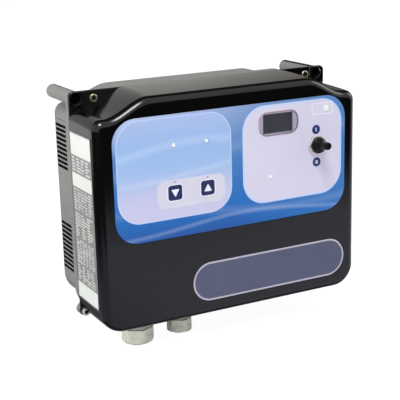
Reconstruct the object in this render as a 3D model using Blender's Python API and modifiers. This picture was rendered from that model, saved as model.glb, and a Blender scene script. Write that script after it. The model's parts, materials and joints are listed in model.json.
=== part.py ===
"""Wall control box of a pool salt chlorine generator, in metres, +Z up.

The origin is the middle of the flat back, on the wall. The wall is the plane y = 0 and the front faces -Y.
"""
import math

import bmesh
import bpy
from mathutils import Matrix

# Casing
CASE_WIDTH = 0.280
CASE_HEIGHT = 0.2203
CASE_DEPTH = 0.120
COVER_DEPTH = 0.0606
COVER_WALL = 0.003
HOUSING_WALL = 0.003
BOTTOM_RADIUS = 0.0225
SHOULDER_DROP = 0.0165
SHOULDER_IN = 0.012
SHOULDER_RUN = 0.044
SHOULDER_RADIUS = 0.010
FRONT_FILLET = 0.008
TOP_DRAFT = 0.002
CAVITY_CORNER = 0.012

# Clearance between pieces that touch, and the lap of shapes that are joined into one piece
GAP = 0.0003
LAP = 0.0002

# Rear housing
RIM_DEPTH = 0.0095
RIM_BOTTOM_RADIUS = 0.030
BODY_SIDE_IN = 0.008
BODY_TOP_IN = 0.0047
BODY_BOTTOM_IN = 0.0058
BODY_BOTTOM_RADIUS = 0.022
BODY_SHOULDER_DROP = 0.014
BODY_SHOULDER_RADIUS = 0.011
BACK_CHAMFER = 0.002
VENT_LOW_COUNT = 11
VENT_HIGH_COUNT = 10
VENT_PITCH = 0.00454
VENT_HEIGHT = 0.0029
VENT_LOW_RISE = 0.03535
VENT_HIGH_DROP = 0.0082
VENT_FRONT_MARGIN = 0.008
VENT_BACK_MARGIN = 0.0025

# Corner plates, wall tubes and cover screws
PLATE_WIDTH = 0.056
PLATE_THICKNESS = 0.003
PLATE_RADIUS = 0.0045
PLATE_HOLE_RADIUS = 0.0064
LOW_PLATE_RISE = 0.0028
SEAT_DROP = 0.0045
SEAT_DEPTH = 0.0055
SCREW_BOSS_RADIUS = 0.0042
LUG_RADIUS = 0.005
LUG_REACH = 0.008
LUG_TURN = 45.0
TUBE_IN = 0.008
TUBE_RISE = 0.009
TUBE_BORE_RADIUS = 0.0055
TUBE_WALL = 0.00115
TUBE_FLOOR = 0.004
WALL_SCREW_RADIUS = 0.00325
TOP_SCREW_IN = 0.024
TOP_SCREW_RISE = 0.009
LOW_SCREW_IN = 0.005
LOW_SCREW_RISE = 0.0065
SCOOP_CLEAR = 0.0029
SCOOP_LENGTH = 0.016
COVER_SCREW_RADIUS = 0.0018
COVER_SCREW_HEAD_RADIUS = 0.0039
COVER_SCREW_HEAD = 0.003
COVER_SCREW_CHAMFER = 0.0007
COVER_SCREW_LENGTH = 0.010
COVER_SCREW_SOCKET = 0.0033
COVER_SCREW_SOCKET_DEPTH = 0.0018
GASKET_WIDTH = 0.0022
GASKET_HEIGHT = 0.0022

# Printed front film and its windows
FILM_LEFT_IN = 0.0164
FILM_RIGHT_IN = 0.0138
FILM_TOP_IN = 0.020
FILM_BOTTOM_IN = 0.0843
FILM_RADIUS = 0.023
FILM_THICKNESS = 0.0006
FILM_POCKET = 0.0008
COLUMN_IN = 0.0608
COLUMN_PITCH = 0.0341
KEY_RISE = 0.0425
LAMP_DROP = 0.0288
DISPLAY_IN = 0.0766
DISPLAY_DROP = 0.0213
TOGGLE_IN = 0.0338
TOGGLE_DROP = 0.0475
POWER_IN = 0.0216
POWER_DROP = 0.0127
SENSOR_IN = 0.0857
SENSOR_RISE = 0.0431

# Name plate and rating label
NAME_LENGTH = 0.1731
NAME_HEIGHT = 0.0390
NAME_RISE = 0.0146
LABEL_MARGIN = 0.001
LABEL_BACK_IN = 0.0029
LABEL_DROP = 0.0088
LABEL_THICKNESS = 0.0004

# Display
SCREEN_LENGTH = 0.0326
SCREEN_HEIGHT = 0.0181
BEZEL_END = 0.0052
BEZEL_BAND = 0.00175
BEZEL_LIP = 0.002
BEZEL_DEPTH = 0.0012
WINDOW_THICKNESS = 0.0015
DISPLAY_BOARD_BACK = 0.0145
DISPLAY_BOARD_LEFT = 0.0438
DISPLAY_BOARD_RIGHT = 0.0084
DISPLAY_BOARD_UP = 0.0305
DISPLAY_BOARD_DOWN = 0.0055
BOARD_THICKNESS = 0.0016
POST_RADIUS = 0.003
POST_IN = 0.0055

# Keys
KEY_SIDE = 0.0138
KEY_RADIUS = 0.0025
KEY_PROUD = 0.0005
KEY_TRAVEL = 0.0005
KEY_LIP = 0.0015
KEY_LIP_DEPTH = 0.0012
KEY_POST_RADIUS = 0.002
KEY_SWITCH_SIDE = 0.006
KEY_SWITCH_DEPTH = 0.0035
KEY_SWITCH_STEM = 0.0008
KEY_SWITCH_STEM_RADIUS = 0.0017

# Indicator lenses
LENS_RADIUS = 0.0020
POWER_LENS_RADIUS = 0.0032
LENS_PROUD = 0.0004
LENS_LIP = 0.001
LENS_LIP_DEPTH = 0.001
PIPE_RADIUS = 0.0016

# Toggle switch
BUSH_WALL = 0.0018
BUSH_PROUD = 0.0065
SWITCH_WIDTH = 0.018
SWITCH_HEIGHT = 0.028
SWITCH_DEPTH = 0.018
SWITCH_PLATE = 0.0015
SWITCH_WELL = 0.006
SWITCH_CLEAR = 0.0012
BLADE_WIDTH = 0.005
BLADE_THICKNESS = 0.0009
BLADE_LENGTH = 0.008
BLADE_PITCH = 0.009
NUT_FLATS = 0.017
NUT_THICKNESS = 0.0035
PIVOT_PROUD = 0.0025
LEVER_TILT = 6.0
LEVER_RADIUS = 0.0019
LEVER_LENGTH = 0.0165
LEVER_TAIL = 0.0055
LEVER_BALL_RADIUS = 0.0037
LEVER_CLEAR = 0.0005
SKIRT_WALL = 0.0016
SKIRT_HEIGHT = 0.0063
SKIRT_ROUND = 0.0019
SKIRT_LIP = 0.0007
SLEEVE_WALL = 0.0017
SLEEVE_START = 0.0084
SLEEVE_CAP = 0.0034

# Cable glands: one thick, one thin
GLAND_BACK = 0.032
THICK_GLAND_IN = 0.0472
THICK_THREAD_RADIUS = 0.0112
THICK_SHOULDER = 0.0028
THICK_BORE_RADIUS = 0.0066
THICK_DOME_LENGTH = 0.0157
THICK_DOME_SIDE = 0.0087
THIN_GLAND_IN = 0.0924
THIN_THREAD_RADIUS = 0.0092
THIN_SHOULDER = 0.0018
THIN_BORE_RADIUS = 0.0046
THIN_DOME_LENGTH = 0.0132
THIN_DOME_SIDE = 0.0105
GLAND_WASHER = 0.0015
GLAND_HEX = 0.0056
GLAND_NECK = 0.0085
GLAND_INSIDE = 0.010
GLAND_LOCKNUT = 0.005
GLAND_WALL = 0.0025
DOME_WALL = 0.003
DOME_LIP = 0.0011
DOME_STANDOFF = 0.001

# Power electronics
BOARD_LEFT_IN = 0.011
BOARD_RISE = 0.020
BOARD_HEIGHT = 0.142
BOARD_STANDOFF = 0.012
BOARD_CLEAR = 0.012
BOARD_HOLE_IN = 0.006
STANDOFF_RADIUS = 0.0035
BOARD_SCREW_RADIUS = 0.0012
BOARD_SCREW_HEAD_RADIUS = 0.0027
BOARD_SCREW_HEAD = 0.002
BOARD_SCREW_LENGTH = 0.008
COIL_IN = 0.056
COIL_RISE = 0.090
COIL_RADIUS = 0.042
COIL_HOLE_RADIUS = 0.014
COIL_HEIGHT = 0.038
COIL_ROUND = 0.008
CLAMP_RADIUS = 0.027
CLAMP_THICKNESS = 0.002
COIL_BOSS_RADIUS = 0.007
COIL_BOLT_RADIUS = 0.0025
COIL_BOLT_LENGTH = 0.020
COIL_BOLT_CLEAR = 0.0012
COIL_BOLT_FLATS = 0.008
COIL_BOLT_HEAD = 0.0035
COMPONENT_GAP = 0.006
RELAY_WIDTH = 0.029
RELAY_HEIGHT = 0.016
RELAY_DEPTH = 0.0155
MAINS_TERMINAL_WIDTH = 0.024
CELL_TERMINAL_WIDTH = 0.030
TERMINAL_HEIGHT = 0.017
TERMINAL_DEPTH = 0.020
TERMINAL_STEP = 0.006
RECTIFIER_WIDTH = 0.028
RECTIFIER_HEIGHT = 0.008
RECTIFIER_DEPTH = 0.020
SMALL_STEP = 0.001
CAN_RADIUS = 0.0125
CAN_HEIGHT = 0.040
CAN_BEAD = 0.0015
FUSE_RADIUS = 0.0026
FUSE_LENGTH = 0.020
FUSE_WELL = 0.004
CLIP_THICKNESS = 0.004
CLIP_WIDTH = 0.008
CLIP_DEPTH = 0.010
SINK_WIDTH = 0.050
SINK_LENGTH = 0.030
SINK_HEIGHT = 0.032
SINK_BASE = 0.005
SINK_FIN = 0.0022
SINK_FINS = 7
RIBBON_WIDTH = 0.020
RIBBON_THICKNESS = 0.0009
RIBBON_BOARD_IN = 0.028
RIBBON_BOARD_DROP = 0.022
RIBBON_RISE = 0.030
RIBBON_STEPS = 14

# Smoothness of round shapes
CORNER_STEPS = 5
SHOULDER_STEPS = 6
FILLET_STEPS = 3
ROUND_STEPS = 20
SMALL_STEPS = 12

# Places worked out from the sizes above
HALF = CASE_WIDTH / 2
TOP = CASE_HEIGHT / 2
BOTTOM = -CASE_HEIGHT / 2
FRONT_Y = -CASE_DEPTH
PARTING_Y = FRONT_Y + COVER_DEPTH
RIM_BACK_Y = PARTING_Y + RIM_DEPTH
SHOULDER_Z = TOP - SHOULDER_DROP
TUBE_RADIUS = TUBE_BORE_RADIUS + TUBE_WALL
SCOOP_RADIUS = COVER_SCREW_HEAD_RADIUS + SCOOP_CLEAR
WINDOW_LENGTH = SCREEN_LENGTH + 2 * BEZEL_END
WINDOW_HEIGHT = SCREEN_HEIGHT + 2 * BEZEL_BAND
BUSH_BORE_RADIUS = LEVER_BALL_RADIUS + LEVER_CLEAR
BUSH_RADIUS = BUSH_BORE_RADIUS + BUSH_WALL
SLEEVE_RADIUS = LEVER_RADIUS + GAP + SLEEVE_WALL
SKIRT_MOUTH_RADIUS = SLEEVE_RADIUS + SLEEVE_START * math.sin(math.radians(LEVER_TILT)) + LEVER_CLEAR
SKIRT_RADIUS = max(SKIRT_MOUTH_RADIUS, BUSH_RADIUS + GAP) + SKIRT_WALL
FILM_LEFT = -HALF + FILM_LEFT_IN
FILM_RIGHT = HALF - FILM_RIGHT_IN
FILM_X = (FILM_LEFT + FILM_RIGHT) / 2
FILM_TOP = TOP - FILM_TOP_IN
FILM_BOTTOM = BOTTOM + FILM_BOTTOM_IN
COLUMNS = (FILM_LEFT + COLUMN_IN, FILM_LEFT + COLUMN_IN + COLUMN_PITCH)
KEY_Z = FILM_BOTTOM + KEY_RISE
DISPLAY_AT = (FILM_RIGHT - DISPLAY_IN, FILM_TOP - DISPLAY_DROP)
TOGGLE_AT = (FILM_RIGHT - TOGGLE_IN, FILM_TOP - TOGGLE_DROP)
LAMPS = {
    "indicator_left": (COLUMNS[0], FILM_TOP - LAMP_DROP, LENS_RADIUS),
    "indicator_right": (COLUMNS[1], FILM_TOP - LAMP_DROP, LENS_RADIUS),
    "indicator_sensor": (FILM_RIGHT - SENSOR_IN, FILM_BOTTOM + SENSOR_RISE, LENS_RADIUS),
    "indicator_power": (FILM_RIGHT - POWER_IN, FILM_TOP - POWER_DROP, POWER_LENS_RADIUS),
}
TUBES = [(side * (HALF - TUBE_IN), SHOULDER_Z + TUBE_RISE) for side in (-1, 1)]
TOP_SCREWS = [(side * (HALF - TOP_SCREW_IN), SHOULDER_Z + TOP_SCREW_RISE) for side in (-1, 1)]
LOW_SCREWS = [(side * (HALF - LOW_SCREW_IN), BOTTOM + LOW_SCREW_RISE) for side in (-1, 1)]
COVER_SCREWS = dict(zip(("top_left", "top_right", "bottom_left", "bottom_right"), TOP_SCREWS + LOW_SCREWS))
BODY_HALF = HALF - BODY_SIDE_IN
COIL_AT = (BODY_HALF - COIL_IN, BOTTOM + COIL_RISE)
BOARD_LEFT = -BODY_HALF + BOARD_LEFT_IN
BOARD_RIGHT = COIL_AT[0] - COIL_RADIUS - BOARD_CLEAR
BOARD_BOTTOM = BOTTOM + BOARD_RISE
BOARD_TOP = BOARD_BOTTOM + BOARD_HEIGHT
BOARD_BACK_Y = -HOUSING_WALL - BOARD_STANDOFF - GAP
BOARD_FRONT_Y = BOARD_BACK_Y - BOARD_THICKNESS
BOARD_HOLES = [
    (x, z)
    for x in (BOARD_LEFT + BOARD_HOLE_IN, BOARD_RIGHT - BOARD_HOLE_IN)
    for z in (BOARD_BOTTOM + BOARD_HOLE_IN, BOARD_TOP - BOARD_HOLE_IN)
]
PANEL_BOARD = (
    FILM_LEFT + DISPLAY_BOARD_LEFT,
    FILM_RIGHT - DISPLAY_BOARD_RIGHT,
    FILM_BOTTOM + DISPLAY_BOARD_UP,
    FILM_TOP - DISPLAY_BOARD_DOWN,
)
POSTS = [
    (x, z)
    for x in (PANEL_BOARD[0] + POST_IN, PANEL_BOARD[1] - POST_IN)
    for z in (PANEL_BOARD[2] + POST_IN, PANEL_BOARD[3] - POST_IN)
]
SCREWED_POSTS = (POSTS[1], POSTS[2])

# Panel pieces are drawn with x across, y up and z out of the front face
OUT_OF_FRONT = Matrix.Rotation(math.pi / 2, 4, "X")
# Side profiles are drawn with x to the back, y up and z to the right
ALONG_X = Matrix(((0, 0, 1, 0), (1, 0, 0, 0), (0, 1, 0, 0), (0, 0, 0, 1)))


def start_scene():
    """Empties the scene and makes the collections for the parts and for the cutters."""
    for obj in list(bpy.data.objects):
        bpy.data.objects.remove(obj)
    parts = bpy.data.collections.new("salt_chlorine_generator")
    cutters = bpy.data.collections.new("cutters")
    for collection in (parts, cutters):
        bpy.context.scene.collection.children.link(collection)
    return parts, cutters


PARTS, CUTTERS = start_scene()


def finish(name, colour, roughness, metallic=0.0, alpha=1.0):
    """A plain material for one kind of surface."""
    material = bpy.data.materials.new(name)
    material.use_nodes = True
    shader = material.node_tree.nodes["Principled BSDF"]
    shader.inputs["Base Color"].default_value = (*colour, 1.0)
    shader.inputs["Roughness"].default_value = roughness
    shader.inputs["Metallic"].default_value = metallic
    shader.inputs["Alpha"].default_value = alpha
    return material


FINISHES = {
    "cover_black": finish("cover_black", (0.012, 0.012, 0.014), 0.18),
    "housing_grey": finish("housing_grey", (0.10, 0.10, 0.095), 0.5),
    "film_blue": finish("film_blue", (0.12, 0.30, 0.68), 0.3),
    "key_navy": finish("key_navy", (0.02, 0.05, 0.20), 0.35),
    "lens_white": finish("lens_white", (0.85, 0.86, 0.92), 0.2),
    "window_clear": finish("window_clear", (0.8, 0.8, 0.85), 0.05, alpha=0.3),
    "bezel_grey": finish("bezel_grey", (0.35, 0.34, 0.40), 0.4),
    "screen_black": finish("screen_black", (0.03, 0.03, 0.045), 0.2),
    "plate_slate": finish("plate_slate", (0.10, 0.10, 0.17), 0.35),
    "label_silver": finish("label_silver", (0.55, 0.55, 0.53), 0.4),
    "rubber_black": finish("rubber_black", (0.015, 0.015, 0.015), 0.7),
    "bright_metal": finish("bright_metal", (0.75, 0.74, 0.70), 0.2, 1.0),
    "screw_zinc": finish("screw_zinc", (0.72, 0.62, 0.42), 0.3, 1.0),
    "gland_grey": finish("gland_grey", (0.50, 0.52, 0.46), 0.5),
    "board_green": finish("board_green", (0.02, 0.16, 0.06), 0.4),
    "coil_tape": finish("coil_tape", (0.45, 0.30, 0.05), 0.5),
    "sink_metal": finish("sink_metal", (0.6, 0.6, 0.62), 0.4, 1.0),
    "chip_black": finish("chip_black", (0.02, 0.02, 0.02), 0.5),
    "relay_blue": finish("relay_blue", (0.03, 0.10, 0.35), 0.4),
    "terminal_green": finish("terminal_green", (0.05, 0.30, 0.12), 0.5),
    "fuse_glass": finish("fuse_glass", (0.8, 0.85, 0.85), 0.1, alpha=0.5),
    "ribbon_grey": finish("ribbon_grey", (0.45, 0.45, 0.47), 0.6),
}


def cleaned(mesh):
    """Welds a mesh's seams, turns its faces outwards and shades its round parts smooth."""
    bm = bmesh.new()
    bm.from_mesh(mesh)
    bmesh.ops.remove_doubles(bm, verts=bm.verts, dist=1e-6)
    bmesh.ops.dissolve_degenerate(bm, edges=bm.edges, dist=1e-7)
    bmesh.ops.recalc_face_normals(bm, faces=bm.faces)
    bm.to_mesh(mesh)
    bm.free()
    mesh.shade_smooth()
    mesh.set_sharp_from_angle(angle=math.radians(35))
    return mesh


def evaluated(obj):
    """The plain mesh of a curve or of an object with modifiers, which is then removed."""
    bpy.context.scene.collection.objects.link(obj)
    depsgraph = bpy.context.evaluated_depsgraph_get()
    mesh = bpy.data.meshes.new_from_object(obj.evaluated_get(depsgraph))
    bpy.data.objects.remove(obj)
    return cleaned(mesh)


def plate(outlines, low, high):
    """A flat piece between two heights in z: the first outline is its edge, the others are holes."""
    curve = bpy.data.curves.new("plate", "CURVE")
    curve.dimensions = "2D"
    curve.fill_mode = "BOTH"
    curve.extrude = (high - low) / 2
    for points in outlines:
        spline = curve.splines.new("POLY")
        spline.points.add(len(points) - 1)
        spline.use_cyclic_u = True
        for point, (x, y) in zip(spline.points, points):
            point.co = (x, y, 0, 1)
    mesh = evaluated(bpy.data.objects.new("plate", curve))
    mesh.transform(Matrix.Translation((0, 0, (low + high) / 2)))
    return mesh


def turned(profile, steps=ROUND_STEPS, ring=False):
    """A piece turned about z from (radius, height) points, which run down its outer side."""
    mesh = bpy.data.meshes.new("turned")
    edges = [(i, i + 1) for i in range(len(profile) - 1)]
    if ring:
        edges.append((len(profile) - 1, 0))
    mesh.from_pydata([(radius, 0, height) for radius, height in profile], edges, [])
    obj = bpy.data.objects.new("turned", mesh)
    screw = obj.modifiers.new("turn", "SCREW")
    screw.steps = steps
    screw.render_steps = steps
    screw.use_merge_vertices = True
    screw.merge_threshold = 1e-6
    return evaluated(obj)


def rod(radius, low, high, steps=ROUND_STEPS):
    """A round bar along z."""
    bm = bmesh.new()
    middle = Matrix.Translation((0, 0, (low + high) / 2))
    bmesh.ops.create_cone(
        bm, cap_ends=True, segments=steps, radius1=radius, radius2=radius, depth=high - low, matrix=middle
    )
    mesh = bpy.data.meshes.new("rod")
    bm.to_mesh(mesh)
    bm.free()
    return cleaned(mesh)


def block(low, high):
    """A box between two corners."""
    bm = bmesh.new()
    size = Matrix.Diagonal([b - a for a, b in zip(low, high)]).to_4x4()
    middle = Matrix.Translation([(a + b) / 2 for a, b in zip(low, high)])
    bmesh.ops.create_cube(bm, size=1, matrix=middle @ size)
    mesh = bpy.data.meshes.new("block")
    bm.to_mesh(mesh)
    bm.free()
    return mesh


def loft(rings):
    """A closed skin through rings with equal numbers of points, capped at both ends."""
    bm = bmesh.new()
    loops = [[bm.verts.new(point) for point in ring] for ring in rings]
    for loop, after in zip(loops, loops[1:]):
        for i in range(len(loop)):
            j = (i + 1) % len(loop)
            bm.faces.new((loop[i], loop[j], after[j], after[i]))
    bm.faces.new(loops[0])
    bm.faces.new(loops[-1])
    mesh = bpy.data.meshes.new("loft")
    bm.to_mesh(mesh)
    bm.free()
    return cleaned(mesh)


def arc(x, y, radius, start, end, steps=CORNER_STEPS):
    """Points along an arc, both ends included, with its angles in degrees."""
    angles = [math.radians(start + (end - start) * i / steps) for i in range(steps + 1)]
    return [(x + radius * math.cos(angle), y + radius * math.sin(angle)) for angle in angles]


def circle(radius, at=(0, 0), steps=ROUND_STEPS):
    """Points around a circle."""
    return arc(*at, radius, 0, 360, steps)[:-1]


def hexagon(flats, first=30):
    """A hexagon with the given width across its flats, and its first corner at the given angle."""
    return arc(0, 0, flats / math.sqrt(3), first, first + 360, 6)[:-1]


def rectangle(width, height, radius, at=(0, 0), steps=CORNER_STEPS):
    """A rectangle with rounded corners."""
    points = []
    for quarter, (sx, sy) in enumerate(((1, 1), (-1, 1), (-1, -1), (1, -1))):
        x = at[0] + sx * (width / 2 - radius)
        y = at[1] + sy * (height / 2 - radius)
        points += arc(x, y, radius, 90 * quarter, 90 * quarter + 90, steps)
    return [point for point, before in zip(points, points[-1:] + points) if math.dist(point, before) > 1e-7]


def on_panel(x, z, out=0.0):
    """Places a panel piece at a point of the front face."""
    return Matrix.Translation((x, FRONT_Y - out, z)) @ OUT_OF_FRONT


def facing_front(x, z, y):
    """Places a panel piece with its base at any depth."""
    return Matrix.Translation((x, y, z)) @ OUT_OF_FRONT


def joined(shapes):
    """One mesh of several separate shapes, each a (mesh, matrix) pair."""
    bm = bmesh.new()
    for mesh, matrix in shapes:
        copy = mesh.copy()
        copy.transform(matrix)
        bm.from_mesh(copy)
        bpy.data.meshes.remove(copy)
    mesh = bpy.data.meshes.new("shapes")
    bm.to_mesh(mesh)
    bm.free()
    return mesh


def add_part(name, mesh, colour, matrix=Matrix.Identity(4)):
    """One named piece of the object."""
    obj = bpy.data.objects.new(name, mesh)
    mesh.materials.append(FINISHES[colour])
    PARTS.objects.link(obj)
    obj.matrix_world = matrix
    return obj


def combine(part, operation, name, shapes):
    """Joins shapes to a part, cuts them from it or keeps what they share with it."""
    tool = bpy.data.objects.new(f"{part.name}_{name}", joined(shapes))
    tool.hide_render = True
    tool.display_type = "WIRE"
    CUTTERS.objects.link(tool)
    modifier = part.modifiers.new(name, "BOOLEAN")
    modifier.operation = operation
    modifier.solver = "EXACT"
    modifier.object = tool


def casing_outline(inset, top_in=0.0, corner=BOTTOM_RADIUS):
    """The casing's front view: round lower corners, and a top that falls in a soft step at both ends."""
    return stepped_outline(inset, (0.0, top_in, 0.0), corner, SHOULDER_RADIUS, SHOULDER_DROP)


def stepped_outline(inset, margins, corner, shoulder_radius, drop):
    """The casing's kind of outline, with margins to the casing at the sides, the top and the bottom."""
    side_in, top_in, bottom_in = margins
    half = HALF - side_in
    foot = half - SHOULDER_IN
    bottom = BOTTOM + bottom_in + inset
    shoulder = TOP - top_in - inset - drop
    low_radius = corner - inset
    high_radius = max(shoulder_radius - inset, LAP)
    side = half - inset
    right = arc(side - low_radius, bottom + low_radius, low_radius, -90, 0)
    right += arc(side - high_radius, shoulder - high_radius, high_radius, 0, 90)
    for i in range(SHOULDER_STEPS + 1):
        t = i / SHOULDER_STEPS
        right.append((foot - SHOULDER_RUN * t, shoulder + drop * t * t * (3 - 2 * t)))
    return right + [(-x, z) for x, z in reversed(right)]


def at_depth(y, outline):
    """An outline as a ring of points at one depth."""
    return [(x, y, z) for x, z in outline]


def cover_rings(wall, rear_y, extra_corner):
    """Rings of the cover's outer skin, or of its hollow if it has a wall, from back to front."""
    corner = BOTTOM_RADIUS + extra_corner
    rings = [at_depth(rear_y, casing_outline(wall, corner=corner))]
    radius = FRONT_FILLET - wall
    for i in range(FILLET_STEPS + 1):
        angle = math.pi / 2 * i / FILLET_STEPS
        inset = FRONT_FILLET - radius * math.cos(angle)
        y = FRONT_Y + FRONT_FILLET - radius * math.sin(angle)
        rings.append(at_depth(y, casing_outline(inset, top_in=TOP_DRAFT, corner=corner)))
    return rings


def body_outline(inset):
    """The rear housing's narrower body behind its rim."""
    margins = (BODY_SIDE_IN, BODY_TOP_IN, BODY_BOTTOM_IN)
    return stepped_outline(inset, margins, BODY_BOTTOM_RADIUS, BODY_SHOULDER_RADIUS, BODY_SHOULDER_DROP)


def top_plate(side, drop=0.0):
    """The outline of the flat plate that fills a top corner: side is -1 for left and 1 for right."""
    edge = HALF - LAP
    top = TOP - LAP - drop
    inner = HALF - PLATE_WIDTH
    low = SHOULDER_Z - SHOULDER_RADIUS - LAP
    points = [(inner, low), (edge, low)]
    points += arc(edge - PLATE_RADIUS, top - PLATE_RADIUS, PLATE_RADIUS, 0, 90)
    points.append((inner, top))
    return [(side * x, z) for x, z in points]


def low_plate(side):
    """The outline of the flat plate that squares a lower corner."""
    edge = HALF - LAP
    low = BOTTOM + LOW_PLATE_RISE
    inner = edge - BOTTOM_RADIUS
    high = low + BOTTOM_RADIUS
    points = arc(edge - PLATE_RADIUS, low + PLATE_RADIUS, PLATE_RADIUS, -90, 0)
    points += [(edge, high), (inner, high), (inner, low)]
    return [(side * x, z) for x, z in points]


def cover_corners():
    """Flat plates at the cover's four corners, for the wall tubes and the cover screws."""
    placed = facing_front(0, 0, PARTING_Y - LAP)
    outlines = [shape(side) for side in (-1, 1) for shape in (top_plate, low_plate)]
    return [(plate([outline], 0, PLATE_THICKNESS - LAP), placed) for outline in outlines]


def housing_corners(front_y, back_y):
    """Seats behind the cover's top plates, and screw lugs behind its lower ones."""
    seated = facing_front(0, 0, front_y + SEAT_DEPTH)
    shapes = [(plate([top_plate(side, SEAT_DROP)], 0, SEAT_DEPTH), seated) for side in (-1, 1)]
    outline = rectangle(LUG_REACH + 2 * LUG_RADIUS, 2 * LUG_RADIUS, LUG_RADIUS, (LUG_REACH / 2, 0))
    lug = plate([outline], 0, back_y - front_y)
    for x, z in LOW_SCREWS:
        inwards = Matrix.Rotation(math.radians(LUG_TURN if x < 0 else 180 - LUG_TURN), 4, "Z")
        shapes.append((lug, facing_front(x, z, back_y) @ inwards))
    return shapes


def holes_along_y(places, radius, front_y, back_y, steps=SMALL_STEPS):
    """Round cutters through the given points, between two depths."""
    cutter = rod(radius, 0, back_y - front_y, steps)
    return [(cutter, facing_front(x, z, back_y)) for x, z in places]


def panel_window(length, height, radius, at):
    """A cutter for a rounded window through the cover's front wall."""
    outline = rectangle(length + 2 * GAP, height + 2 * GAP, radius + GAP)
    return plate([outline], -2 * COVER_WALL, COVER_WALL), on_panel(*at)


def gland_list():
    """Both cable glands: place across, name, thread radius, width across flats, bore radius, dome sizes."""
    thick_flats = 2 * (THICK_THREAD_RADIUS + THICK_SHOULDER)
    thin_flats = 2 * (THIN_THREAD_RADIUS + THIN_SHOULDER)
    thick_dome = (THICK_DOME_LENGTH, THICK_DOME_SIDE)
    thin_dome = (THIN_DOME_LENGTH, THIN_DOME_SIDE)
    thick = ("thick", THICK_THREAD_RADIUS, thick_flats, THICK_BORE_RADIUS, thick_dome)
    thin = ("thin", THIN_THREAD_RADIUS, thin_flats, THIN_BORE_RADIUS, thin_dome)
    return ((-HALF + THICK_GLAND_IN, *thick), (-HALF + THIN_GLAND_IN, *thin))


def make_front_cover():
    """The gloss front shell, with its corner plates, windows, film pockets and board posts."""
    cover = add_part("front_cover", loft(cover_rings(0.0, PARTING_Y, 0.0)), "cover_black")
    combine(cover, "UNION", "corners", cover_corners())
    hollow = loft(cover_rings(COVER_WALL, PARTING_Y + COVER_WALL, CAVITY_CORNER))
    combine(cover, "DIFFERENCE", "hollow", [(hollow, Matrix.Identity(4))])

    post = rod(POST_RADIUS, GAP - DISPLAY_BOARD_BACK, -COVER_WALL / 2, SMALL_STEPS)
    combine(cover, "UNION", "posts", [(post, on_panel(x, z)) for x, z in POSTS])

    film = rectangle(FILM_RIGHT - FILM_LEFT + 2 * GAP, FILM_TOP - FILM_BOTTOM + 2 * GAP, FILM_RADIUS + GAP)
    name = rectangle(NAME_LENGTH + 2 * GAP, NAME_HEIGHT + 2 * GAP, NAME_HEIGHT / 2 + GAP)
    pockets = [
        (plate([film], -FILM_POCKET, COVER_WALL), on_panel(FILM_X, (FILM_TOP + FILM_BOTTOM) / 2)),
        (plate([name], -FILM_POCKET, COVER_WALL), on_panel(FILM_RIGHT - NAME_LENGTH / 2, name_middle())),
    ]
    combine(cover, "DIFFERENCE", "pockets", pockets)

    windows = [panel_window(WINDOW_LENGTH, WINDOW_HEIGHT, WINDOW_HEIGHT / 2 - BEZEL_LIP, DISPLAY_AT)]
    windows += [panel_window(KEY_SIDE, KEY_SIDE, KEY_RADIUS, (x, KEY_Z)) for x in COLUMNS]
    for x, z, radius in LAMPS.values():
        windows += holes_along_y([(x, z)], radius + GAP, FRONT_Y - COVER_WALL, FRONT_Y + 2 * COVER_WALL)
    toggle_hole = BUSH_RADIUS + GAP
    windows += holes_along_y([TOGGLE_AT], toggle_hole, FRONT_Y - COVER_WALL, FRONT_Y + 2 * COVER_WALL)
    for x, _, thread, *_ in gland_list():
        hole = rod(thread + GAP, -COVER_WALL, 2 * COVER_WALL)
        windows.append((hole, Matrix.Translation((x, FRONT_Y + GLAND_BACK, BOTTOM))))
    board_front = FRONT_Y + DISPLAY_BOARD_BACK
    screw_end = board_front - BOARD_SCREW_LENGTH
    windows += holes_along_y(SCREWED_POSTS, BOARD_SCREW_RADIUS + GAP, screw_end, board_front)
    plate_back = PARTING_Y + PLATE_THICKNESS
    plate_front = PARTING_Y - PLATE_THICKNESS - COVER_SCREW_HEAD
    windows += holes_along_y(TUBES, PLATE_HOLE_RADIUS, plate_front, plate_back, ROUND_STEPS)
    windows += holes_along_y(COVER_SCREWS.values(), COVER_SCREW_RADIUS + GAP, plate_front, plate_back)
    combine(cover, "DIFFERENCE", "windows", windows)

    scoop = turned(scoop_profile(), SMALL_STEPS)
    scoop_y = PARTING_Y - PLATE_THICKNESS
    combine(cover, "DIFFERENCE", "scoops", [(scoop, facing_front(x, z, scoop_y)) for x, z in LOW_SCREWS])


def scoop_profile():
    """A round-ended channel in front of each lower cover screw."""
    nose = arc(0, SCOOP_LENGTH - SCOOP_RADIUS, SCOOP_RADIUS, 90, 0)
    return nose + [(SCOOP_RADIUS, 0.0), (0.0, 0.0)]


def name_middle():
    """The height of the name plate's middle."""
    return BOTTOM + NAME_RISE + NAME_HEIGHT / 2


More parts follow.
